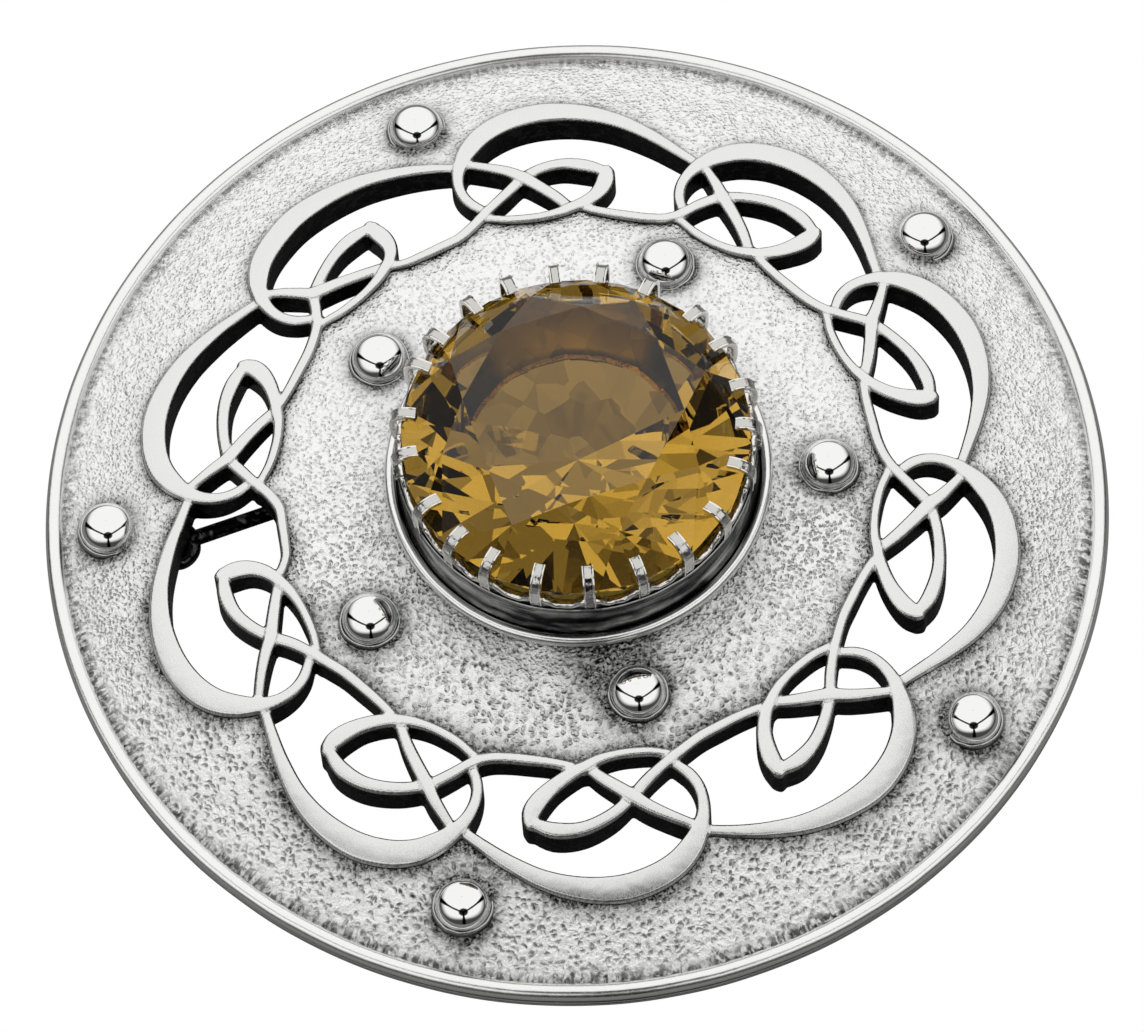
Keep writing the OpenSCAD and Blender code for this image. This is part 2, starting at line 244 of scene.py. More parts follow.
    @staticmethod
    def dimples(tree: bpy.types.NodeTree, place: bpy.types.Node, size_mm: float
                ) -> tuple[bpy.types.Node, bpy.types.Node]:
        """Punch marks of one size.

        Args:
            tree: The node tree.
            place: Coordinates in millimetres.
            size_mm: Width of a mark.

        Returns:
            The hollow of each mark, and the darkened bottoms of some of them.
        """
        cells = add(tree, "TexVoronoi", {"feature": "SMOOTH_F1", "Scale": 1 / size_mm,
                                         "Smoothness": 0.12, "Randomness": 0.9,
                                         "Vector": place})
        chance = add(tree, "SeparateColor", {0: cells.outputs["Color"]})
        hollow = add(tree, "MapRange", EASED | {
            "Value": cells, "From Min": 0.05, "From Max": 0.62, "To Min": 1.0, "To Max": 0.0})
        bottom = add(tree, "MapRange", EASED | {
            "Value": cells, "From Min": 0.1, "From Max": 0.36, "To Min": 1.0, "To Max": 0.0})
        some = add(tree, "MapRange", EASED | {
            "Value": chance, "From Min": 0.45, "From Max": 0.7})
        return hollow, add(tree, "Math", TIMES | {0: bottom, 1: some})

    def border(self, tree: bpy.types.NodeTree, place: bpy.types.Node,
               patchy: bpy.types.Node) -> bpy.types.Node:
        """Dark chisel cuts that point inwards along the rim.

        Args:
            tree: The node tree.
            place: Coordinates in millimetres.
            patchy: Uneven value that lets the cuts start nearer the rim or farther from it.

        Returns:
            How dark the cuts are.
        """
        flat = add(tree, "VectorMath", TIMES | {0: place, 1: (1, 1, 0)})
        radius = add(tree, "VectorMath", {"operation": "LENGTH", 0: flat}).outputs["Value"]
        x, y, _ = add(tree, "SeparateXYZ", {0: place}).outputs
        angle = add(tree, "Math", {"operation": "ARCTAN2", 0: y, 1: x})
        polar = add(tree, "CombineXYZ", {
            0: add(tree, "Math", TIMES | {0: angle, 1: self.border_r_mm / self.cut_mm}),
            1: add(tree, "Math", TIMES | {0: radius, 1: 1 / self.cut_len_mm})})
        cuts = add(tree, "TexNoise", {"Scale": 1.0, "Detail": 2.0, "Distortion": 0.4,
                                      "Vector": polar})
        uneven = add(tree, "Math", PLUS | {
            0: radius, 1: add(tree, "Math", TIMES | {0: patchy, 1: self.border_sway_mm})})
        near_rim = add(tree, "MapRange", EASED | {
            "Value": uneven, "From Min": self.border_r_mm + self.border_fade_mm[0],
            "From Max": self.border_r_mm + self.border_fade_mm[1]})
        dark = add(tree, "MapRange", EASED | {
            "Value": cuts, "From Min": 0.4, "From Max": 0.58, "To Max": 0.85})
        return add(tree, "Math", TIMES | {0: dark, 1: near_rim})


@dataclass(frozen=True)
class PolishedSilver:
    """Sterling silver filed smooth and buffed.

    Buffing leaves faint waves and hairlines, so reflections are clear but softly broken,
    and dark oxide stays in the creases. On the cove, the cup's lining and the rim's foot the
    same dark colour is painted shade.
    """

    name: str
    bright: str = "#f4f4f2"
    oxide_and_shade: str = "#242424"
    roughness: float = 0.2
    wave_mm: float = 1.6
    wave_depth_mm: float = 0.02
    # A buff's hairlines are finer than this; they are drawn coarse enough to show
    hairline_mm: float = 0.111
    hairline_depth_mm: float = 0.002

    def make(self) -> bpy.types.Material:
        """Builds the material; the mesh's "wear" colours say where oxide and painted
        shade go.

        Returns:
            The new material.
        """
        material, tree = blank_material(self.name)
        place = millimetres(tree)
        wear = add(tree, "Attribute", {"attribute_name": "wear"})
        oxide_and_shade = add(tree, "SeparateColor", {0: wear})
        wave = add(tree, "TexNoise", {"Scale": 1 / self.wave_mm, "Detail": 2.0,
                                      "Vector": place})
        hairs = add(tree, "TexNoise", {"Scale": 1 / self.hairline_mm, "Detail": 4.0,
                                       "Roughness": 0.65, "Vector": place})
        waves = add(tree, "Bump", {"Strength": 1.0, "Distance": self.wave_depth_mm * MM,
                                   "Height": wave})
        bump = add(tree, "Bump", {"Strength": 1.0, "Distance": self.hairline_depth_mm * MM,
                                  "Height": hairs, "Normal": waves})
        colour = add(tree, "Mix", COLOURS | {0: oxide_and_shade, 6: self.bright, 7: self.oxide_and_shade}).outputs[2]
        gloss = add(tree, "MapRange", EASED | {
            "Value": hairs, "From Min": 0.3, "From Max": 0.7,
            "To Min": self.roughness * 0.8, "To Max": self.roughness * 1.25})
        metal_surface(tree, colour, gloss, bump)
        return material


@dataclass(frozen=True)
class BlackenedSilver:
    """Silver left black with sulphide, where the buff can't reach.

    The black skin is thin and shiny, so it is nearly black with a few streaks of light.
    """

    name: str
    dark: str = "#0b0b0b"
    worn: str = "#4c4c4c"
    worn_share: float = 0.15
    roughness: float = 0.3
    streak_mm: float = 0.9
    depth_mm: float = 0.05

    def make(self) -> bpy.types.Material:
        """Builds the material.

        Returns:
            The new material.
        """
        material, tree = blank_material(self.name)
        place = millimetres(tree)
        streaks = add(tree, "TexNoise", {"Scale": 1 / self.streak_mm, "Detail": 4.0,
                                         "Roughness": 0.6, "Distortion": 0.8,
                                         "Vector": place})
        rubbed = add(tree, "MapRange", EASED | {
            "Value": streaks, "From Min": 0.62 - self.worn_share,
            "From Max": 0.72 - self.worn_share * 0.4})
        colour = add(tree, "Mix", COLOURS | {0: rubbed, 6: self.dark, 7: self.worn}).outputs[2]
        bump = add(tree, "Bump", {"Strength": 1.0, "Distance": self.depth_mm * MM,
                                  "Height": streaks})
        gloss = add(tree, "MapRange", EASED | {
            "Value": streaks, "From Min": 0.3, "From Max": 0.7,
            "To Min": self.roughness * 0.7, "To Max": self.roughness * 1.4})
        metal_surface(tree, colour, gloss, bump)
        return material


@dataclass(frozen=True)
class SmokyCitrine:
    """Golden brown quartz, faceted and polished.

    Flat facets mirror the light at sharp edges, and the colour deepens with the way that
    light takes through the stone: amber where it is thin, smoky brown where it is deep.
    Natural quartz holds its colour in angular zones, which the pavilion shows as patches.
    """

    name: str = "smoky_citrine_quartz"
    citrine_tone: str = "#f5cb7e"
    depth_tone: str = "#c9be00"
    density: float = 54.0
    quartz_ior: float = 1.55
    zone_mm: float = 2.3
    zone_tone: str = "#c59e52"
    deep_zone_tone: str = "#8f7040"
    zone_top_z: tuple[float, float] = (12.0, 13.4)
    zone_deep_z: tuple[float, float] = (9.0, 10.5)

    def make(self) -> bpy.types.Material:
        """Builds the material: clear glass-like surface, colour from absorption inside.

        Returns:
            The new material.
        """
        material, tree = blank_material(self.name)
        place = millimetres(tree)
        zones = add(tree, "TexVoronoi", {"Scale": 1 / self.zone_mm, "Randomness": 1.0,
                                         "Vector": place}).outputs["Color"]
        z = add(tree, "SeparateXYZ", {0: place}).outputs["Z"]
        some = add(tree, "MapRange", EASED | {
            "Value": add(tree, "SeparateColor", {0: zones}), "From Min": 0.2, "From Max": 0.9})
        low = add(tree, "MapRange", EASED | {
            "Value": z, "From Min": self.zone_top_z[0], "From Max": self.zone_top_z[1],
            "To Min": 1.0, "To Max": 0.0})
        high = add(tree, "MapRange", EASED | {
            "Value": z, "From Min": self.zone_deep_z[0], "From Max": self.zone_deep_z[1]})
        zone = add(tree, "Mix", COLOURS | {
            0: high, 6: self.deep_zone_tone, 7: self.zone_tone}).outputs[2]
        tint = add(tree, "Mix", COLOURS | {
            0: add(tree, "Math", TIMES | {0: some, 1: low}),
            6: self.citrine_tone, 7: zone}).outputs[2]
        shader = add(tree, "BsdfPrincipled", {
            "IOR": self.quartz_ior, "Transmission Weight": 1.0, "Roughness": 0.0,
            "Base Color": tint})
        inside = add(tree, "VolumeAbsorption", {"Color": self.depth_tone,
                                                "Density": self.density})
        add(tree, "OutputMaterial", {"Surface": shader, "Volume": inside})
        return material


@dataclass(frozen=True)
class PaleBoard:
    """Matt white board lit from behind, as jewellery is often laid on for its picture."""

    name: str = "pale_backlit_board"
    tone: str = "#ffffff"
    film: str = "#8c8c8c"
    glow: float = 1.0
    through: float = 0.3

    def make(self) -> bpy.types.Material:
        """Builds the material; its glow shows to the eye, and dimmer through the stone.

        Returns:
            The new material.
        """
        material, tree = blank_material(self.name)
        board = add(tree, "BsdfDiffuse", {"Color": self.film})
        glow = add(tree, "Emission", {"Color": self.tone, "Strength": self.glow})
        path = add(tree, "LightPath").outputs
        dimmed = add(tree, "Math", TIMES | {0: path["Is Transmission Ray"], 1: self.through})
        share = add(tree, "Math", {"operation": "MAXIMUM", 0: path["Is Camera Ray"], 1: dimmed})
        seen = add(tree, "MixShader", {0: share, 1: board, 2: glow})
        add(tree, "OutputMaterial", {"Surface": seen})
        return material


class Finish(Enum):
    """The finishes on the brooch, and what each gives the eye."""

    # Pale stipple with dark specks, and painted shade beside everything that stands up from it
    FIELD = HammeredSilver()
    # Filed and buffed by hand: soft broad lights, and dark lines where strands cross
    STRAND = PolishedSilver("buffed_sterling_silver", bright="#eaeae8", roughness=0.27,
                            wave_mm=2.4, wave_depth_mm=0.06)
    # Polished to a mirror: the tent and its seams show whole in each stud
    STUD = PolishedSilver("mirror_polished_silver", roughness=0.05, wave_depth_mm=0.004,
                          hairline_depth_mm=0.0005)
    # Rubbed with a steel: a soft shine on the bead, black in the grooves under it, and painted
    # shade at the foot of the rim
    RIM = PolishedSilver("burnished_silver_rim", oxide_and_shade="#0c0c0c", roughness=0.22, wave_mm=3.0,
                         wave_depth_mm=0.06)
    # Strip cut and bent by hand: small bright lights broken by dents
    CLAW = PolishedSilver("bright_silver_strip", bright="#f0eee8", oxide_and_shade="#3a3936",
                          roughness=0.12, wave_mm=0.55, wave_depth_mm=0.07)
    # Dull inside of the cup, with painted shade at its sides and foot: even light behind the stone
    LINING = PolishedSilver("satin_silver_cup", bright="#e2f4da", oxide_and_shade="#050505",
                            roughness=0.4, wave_mm=2.0, wave_depth_mm=0.05)
    # Sawn walls that no buff reaches: nearly black
    WALL = BlackenedSilver("sulphide_black_silver")
    # Oxidised and half wiped, with painted shade on its right and under its lip: dark, with
    # smoky streaks of light
    COVE = PolishedSilver("oxidised_and_shaded_silver_cove", bright="#a8a8a8", oxide_and_shade="#101010",
                          roughness=0.18, wave_mm=1.2, wave_depth_mm=0.05)
    # Wire punched down round each stud: a thin uneven grey ring
    COLLAR = PolishedSilver("punched_silver_collar", bright="#cfcfce", oxide_and_shade="#161616",
                            roughness=0.2, wave_mm=0.6, wave_depth_mm=0.06)
    # Darkened by wear behind the plate: dark, with a few rubbed spots
    PIN = BlackenedSilver("darkened_silver_pin", dark="#0d0d0d", worn="#6a6a6a",
                          worn_share=0.12, roughness=0.3, streak_mm=0.8)
    STONE = SmokyCitrine()
    BOARD = PaleBoard()


@dataclass
class Workshop:
    """Holds each material once it is made."""

    made: dict[Finish, bpy.types.Material]

    def material(self, finish: Finish) -> bpy.types.Material:
        """Gives the material of a finish, making it the first time.

        Args:
            finish: Which finish.

        Returns:
            Its material.
        """
        if finish not in self.made:
            self.made[finish] = finish.value.make()
        return self.made[finish]


# ---------------------------------------------------------------- meshes
@dataclass
class Piece:
    """A mesh in millimetres on its way to becoming an object.

    Attributes:
        name: Object name.
        points: Corner places, one row each.
        faces: Corner numbers of each face.
        finish: What it is made of.
        node: CAD node that it stands for.
        slot: Material slot of the record; not used.
        smooth: True to shade it as one curved surface.
        wear: Oxide and painted shade, chisel marks and coarseness at each corner,
        if the finish uses them.
        normals: Surface direction at each corner, where it is known exactly.
    """

    name: str
    points: np.ndarray
    faces: list
    finish: Finish
    node: str
    slot: str
    smooth: bool = True
    wear: np.ndarray | None = None
    normals: np.ndarray | None = None

    def build(self, shop: Workshop) -> bpy.types.Object:
        """Makes the object, dresses it and ties it to the part.

        Args:
            shop: Where its material comes from.

        Returns:
            The new object.
        """
        mesh = bpy.data.meshes.new(self.name)
        mesh.from_pydata((np.asarray(self.points, float) * MM).tolist(), [],
                         [tuple(int(i) for i in face) for face in self.faces])
        mesh.validate()
        mesh.polygons.foreach_set("use_smooth", [self.smooth] * len(mesh.polygons))
        wear = np.zeros((len(self.points), 4), np.float32)
        if self.wear is not None:
            wear[:, :self.wear.shape[1]] = self.wear
        wear[:, 3] = 1.0
        layer = mesh.attributes.new("wear", "FLOAT_COLOR", "POINT")
        layer.data.foreach_set("color", wear.ravel())
        if self.normals is not None:
            mesh.normals_split_custom_set_from_vertices(self.normals.tolist())
        mesh.materials.append(shop.material(self.finish))
        piece = bpy.data.objects.new(self.name, mesh)
        bpy.context.scene.collection.objects.link(piece)
        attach(piece, "root")
        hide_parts(self.node)
        LOG.info("%s: %d faces", self.name, len(self.faces))
        return piece


def grid_faces(rows: int, columns: int, round_rows: bool = False, round_columns: bool = False,
               by_row: bool = False) -> list:
    """Faces of a grid of points that are numbered row by row.

    Args:
        rows: Number of rows.
        columns: Number of points in a row.
        round_rows: True where the last row meets the first.
        round_columns: True where each row's end meets its start.
        by_row: True for faces that run along their row first, and so look the other way.

    Returns:
        Faces of four corners.
    """
    faces = [(i * columns + k, (i + 1) % rows * columns + k,
              (i + 1) % rows * columns + (k + 1) % columns, i * columns + (k + 1) % columns)
             for i in range(rows if round_rows else rows - 1)
             for k in range(columns if round_columns else columns - 1)]
    return [face[:1] + face[:0:-1] for face in faces] if by_row else faces


def flipped(faces: list) -> list:
    """Turns faces over."""
    return [face[::-1] for face in faces]


def joined(parts: list) -> tuple[np.ndarray, list]:
    """Joins several shapes into one.

    Args:
        parts: Points and faces of each shape.

    Returns:
        Points and faces of them all.
    """
    faces, count = [], 0
    for points, own_faces in parts:
        faces += [tuple(i + count for i in face) for face in own_faces]
        count += len(points)
    return np.concatenate([points for points, _ in parts]), faces


def lathe(profile: np.ndarray, steps: int, closed: bool, centre: tuple[float, float] = (0, 0),
          sway: float = 0.0, sway_mm: float = 6.0) -> tuple[np.ndarray, list]:
    """Turns a profile about an upright axis.

    Args:
        profile: Radius and height of each point.
        steps: Number of steps round the turn.
        closed: True where the profile's end meets its start.
        centre: Plan place of the axis.
        sway: Unevenness of the surface, in millimetres.
        sway_mm: Length of one uneven wave.

    Returns:
        Points and faces.
    """
    turn = np.linspace(0, 2 * math.pi, steps, endpoint=False)[:, None]
    points = np.stack([profile[:, 0] * np.cos(turn), profile[:, 0] * np.sin(turn),
                       profile[:, 1] + 0 * turn], axis=2).reshape(-1, 3)
    if sway:
        points += [noise.noise_vector(Vector(point) / sway_mm) * sway for point in points]
    points[:, :2] += centre
    return points, grid_faces(steps, len(profile), True, closed)


def arc(centre: tuple[float, float], radius: float, start: float, end: float, steps: int
        ) -> np.ndarray:
    """Points of an arc in the plane of a profile.

    Args:
        centre: Place of its middle.
        radius: Its radius.
        start: Angle of the first point, in degrees.
        end: Angle of the last point, in degrees.
        steps: Number of points.

    Returns:
        A row for each point.
    """
    angles = np.radians(np.linspace(start, end, steps))
    return np.stack([centre[0] + radius * np.cos(angles),
                     centre[1] + radius * np.sin(angles)], axis=1)


def smoothstep(low: float, high: float, value: np.ndarray) -> np.ndarray:
    """Rises smoothly from 0 at low to 1 at high."""
    share = np.clip((value - low) / (high - low), 0, 1)
    return share * share * (3 - 2 * share)


def fade(distance: np.ndarray, reach: float | np.ndarray) -> np.ndarray:
    """Falls off from 1 at no distance, to about a third at its reach."""
    return np.exp(-np.maximum(distance, 0) / reach)


def ripple(points: np.ndarray, wave_mm: float, seed: float) -> np.ndarray:
    """Uneven values between about -1 and 1 over plan points, one wave every wave_mm."""
    return np.array([noise.noise(Vector((x / wave_mm, y / wave_mm, seed))) for x, y in points])


def crisp(piece: bpy.types.Object, angle: float) -> None:
    """Keeps the edges of a smooth piece sharp where they are steeper than an angle."""
    split = piece.modifiers.new("crisp_edges", "EDGE_SPLIT")
    split.split_angle = math.radians(angle)


@dataclass
class SubAssembly:
    """A part of the brooch that stands for one CAD node.

    Attributes:
        shop: Where its materials come from.
    """

    shop: Workshop

    def piece(self, name: str, points: np.ndarray, faces: list, finish: Finish, **rest: object
              ) -> bpy.types.Object:
        """Builds one piece of the sub-assembly.

        Args:
            name: Object name.
            points: Corner places.
            faces: Corner numbers of each face.
            finish: What it is made of.
            rest: Shading, wear and normals, as in Piece.

        Returns:
            The new object.
        """
        return Piece(name, points, faces, finish, self.node, self.slot, **rest).build(self.shop)


# ---------------------------------------------------------------- the plaque's form
@dataclass(frozen=True)
class Dome:
    """The domed upper face of the plate, steep near the rim and flat in the middle."""

    edge_r: float = 42.5
    bead_z: float = 1.82
    rise: float = 5.87
    field_r: float = 41.0
    plate_t: float = 1.3
    hole_at: tuple[float, float] = (0.4, 0.3)
    hole_r: float = 7.4

    def height(self, radius: np.ndarray) -> np.ndarray:
        """Height of the upper face at a radius."""
        return self.bead_z + self.rise * (1 - np.minimum(radius / self.field_r, 1) ** 3)


# Shares in the parts of a unit that the hand moved, one place for each part
FIXED = np.zeros(6)
CREST, END, CROSS, TIP, LEAF, LINK = np.eye(6)


class Strand(Enum):
    """The strands of one unit, each a row of stations along its middle line:
    angle from the unit's start, radius, width, rise over the others, share in moved parts."""

    LOOP = (
        (3.4, 25.7, 0.80, -0.06, FIXED),
        (1.5, 26.9, 0.95, -0.05, FIXED),
        (0.8, 28.2, 1.00, 0.0, FIXED),
        (1.2, 29.6, 1.10, 0.03, FIXED),
        (2.4, 30.9, 1.35, 0.06, FIXED),
        (4.4, 32.2, 1.80, 0.05, 0.3 * CREST),
        (7.2, 33.4, 2.05, 0.02, 0.7 * CREST),
        (10.8, 34.2, 2.15, 0.0, CREST),
        (15.2, 34.6, 2.15, 0.0, CREST),
        (20.2, 34.4, 1.90, 0.0, CREST),
        (25.2, 33.7, 1.55, 0.0, 0.7 * CREST + 0.3 * END),
        (30.0, 32.6, 1.25, -0.02, 0.3 * CREST + 0.7 * END),
        (34.0, 31.6, 1.00, -0.05, END),
        (37.6, 30.8, 0.85, -0.08, END))
    BAR = (
        (2.8, 31.0, 0.80, -0.06, FIXED),
        (5.4, 29.9, 0.95, 0.02, 0.4 * CROSS),
        (7.6, 29.0, 1.10, 0.06, 0.8 * CROSS),
        (9.5, 28.1, 1.20, 0.07, CROSS),
        (12.5, 27.0, 1.15, 0.03, 0.7 * CROSS),
        (15.4, 26.0, 1.05, -0.04, 0.4 * CROSS),
        (18.2, 25.0, 0.90, -0.08, FIXED))
    RING = (
        (-17.0, 25.0, 0.80, -0.07, 0.5 * LINK),
        (-14.2, 24.6, 0.85, -0.03, LINK),
        (-10.6, 24.35, 0.90, 0.0, LINK),
        (-6.8, 24.3, 0.95, 0.0, LINK),
        (-3.0, 24.4, 0.95, 0.02, LINK),
        (0.5, 24.8, 0.95, 0.05, 0.5 * LINK),
        (3.6, 25.6, 0.95, 0.06, 0.3 * CROSS),
        (6.5, 26.8, 1.00, -0.02, 0.8 * CROSS),
        (9.5, 28.1, 1.00, -0.07, CROSS),
        (13.2, 29.1, 1.05, -0.01, 0.6 * CROSS + 0.3 * TIP + 0.7 * LEAF),
        (17.4, 29.75, 1.15, 0.0, 0.2 * CROSS + 0.7 * TIP + LEAF),
        (21.4, 29.75, 1.30, 0.0, TIP + 0.7 * LEAF),
        (25.2, 29.2, 0.90, 0.0, TIP))
    RETURN = (
        (24.9, 29.5, 0.80, 0.0, TIP),
        (24.9, 28.6, 1.50, 0.0, TIP),
        (24.5, 27.6, 1.55, 0.0, 0.8 * TIP),
        (23.4, 26.5, 1.35, 0.0, 0.5 * TIP),
        (21.6, 25.55, 1.20, 0.03, 0.2 * TIP),
        (19.3, 24.85, 1.05, 0.05, FIXED),
        (16.4, 24.3, 0.95, 0.05, FIXED),
        (13.0, 24.05, 0.85, 0.02, FIXED),
        (9.6, 24.1, 0.85, 0.0, FIXED),
        (6.6, 24.35, 0.80, 0.0, FIXED),
        (3.8, 24.85, 0.75, -0.04, FIXED),
        (1.8, 25.1, 0.70, -0.06, FIXED))


# Each unit as its maker's hand left it:
# turn of start, turn of cross, turn of tip, outward shift of each moved part
UNITS = (
    (-0.8, -2.8, -2.9, (-0.5, 0.0, -0.8, -0.4, -0.6, 0.0)),
    (0.9, 2.8, 1.2, (0.4, 0.2, 0.1, -0.7, 0.0, -0.5)),
    (1.9, 0.2, 0.6, (0.2, 0.0, 0.4, 0.5, 0.0, 0.0)),
    (-0.1, -1.2, -0.9, (-0.1, 0.0, -0.4, 0.2, -0.5, 0.1)),
    (-1.8, -2.2, 1.1, (0.2, 0.0, 0.1, 0.1, -0.1, -0.1)),
    (-0.4, 0.5, -0.6, (0.2, 0.7, -0.7, 0.3, -0.5, 0.0)),
    (-0.2, 1.9, 2.7, (-0.2, 0.0, -0.6, 0.0, 0.0, 0.0)),
    (-0.2, -0.7, 0.6, (0.1, 0.1, 0.2, 0.4, 0.2, 0.1)),
    (-0.6, 0.8, -0.9, (0.2, -0.1, -0.9, -0.4, -0.4, 0.0)),
    (0.7, -0.8, 0.9, (-0.1, 0.0, -0.4, -0.5, -0.3, -0.9)))


@dataclass(frozen=True)
class Knot:
    """The layout of the pierced knotwork in plan."""

    first_turn: float = -142.8
    step: float = 36.0
    cuts: int = 5

    def station(self, row: tuple, unit: int) -> tuple[float, float]:
        """Plan place of one station of a unit.

        Args:
            row: The station's row in its strand.
            unit: Number of the unit.

        Returns:
            Its place, turned and moved as the hand left that unit.
        """
        hand, following = UNITS[unit % len(UNITS)], UNITS[(unit + 1) % len(UNITS)]
        cross, tip = row[4] @ CROSS, row[4] @ TIP
        free = 1 - min(cross + tip, 1)
        even = hand[0] + (following[0] - hand[0]) * row[0] / self.step
        turn = even * free + cross * hand[1] + tip * hand[2]
        azimuth = math.radians(-(self.first_turn + unit * self.step + row[0] + turn))
        radius = row[1] + row[4] @ np.array(hand[3])
        return radius * math.cos(azimuth), radius * math.sin(azimuth)

    def smooth(self, values: np.ndarray) -> np.ndarray:
        """Runs a smooth curve through rows of values.

        Args:
            values: The rows.

        Returns:
            More rows, with the given ones among them.
        """
        last = len(values) - 1
        shares = np.arange(self.cuts)[:, None] / self.cuts
        parts = []
        for i in range(last):
            before, here = values[max(i - 1, 0)], values[i]
            there, after = values[i + 1], values[min(i + 2, last)]
            parts.append(0.5 * (2 * here + (there - before) * shares
                                + (2 * before - 5 * here + 4 * there - after) * shares ** 2
                                + (3 * here - before - 3 * there + after) * shares ** 3))
        return np.concatenate(parts + [values[last:]])

    def strand(self, strand: Strand, unit: int) -> tuple[np.ndarray, np.ndarray, np.ndarray]:
        """Lays out one strand of a unit.

        Args:
            strand: Which strand.
            unit: Number of the unit.

        Returns:
            Its middle line, half widths and rises.
        """
        rows = strand.value
        line = self.smooth(np.array([self.station(row, unit) for row in rows]))
        sizes = self.smooth(np.array([(row[2] / 2, row[3]) for row in rows]))
        return line, sizes[:, 0], sizes[:, 1]

    def edge(self, parts: tuple) -> tuple[np.ndarray, np.ndarray]:
        """Radius of a closed edge against azimuth, from parts of the strands.

        Args:
            parts: Strand with the first and last angle and the least radius that count.

        Returns:
            Azimuths in radians, rising, and radii.
        """
        places = []
        for unit in range(len(UNITS)):
            for strand, low, high, least in parts:
                places += [self.station(row, unit) for row in strand.value
                           if low <= row[0] < high and row[1] > least]
        places = np.array(places)
        azimuth = np.arctan2(places[:, 1], places[:, 0])
        order = np.argsort(azimuth)
        return azimuth[order], np.hypot(*places.T)[order]


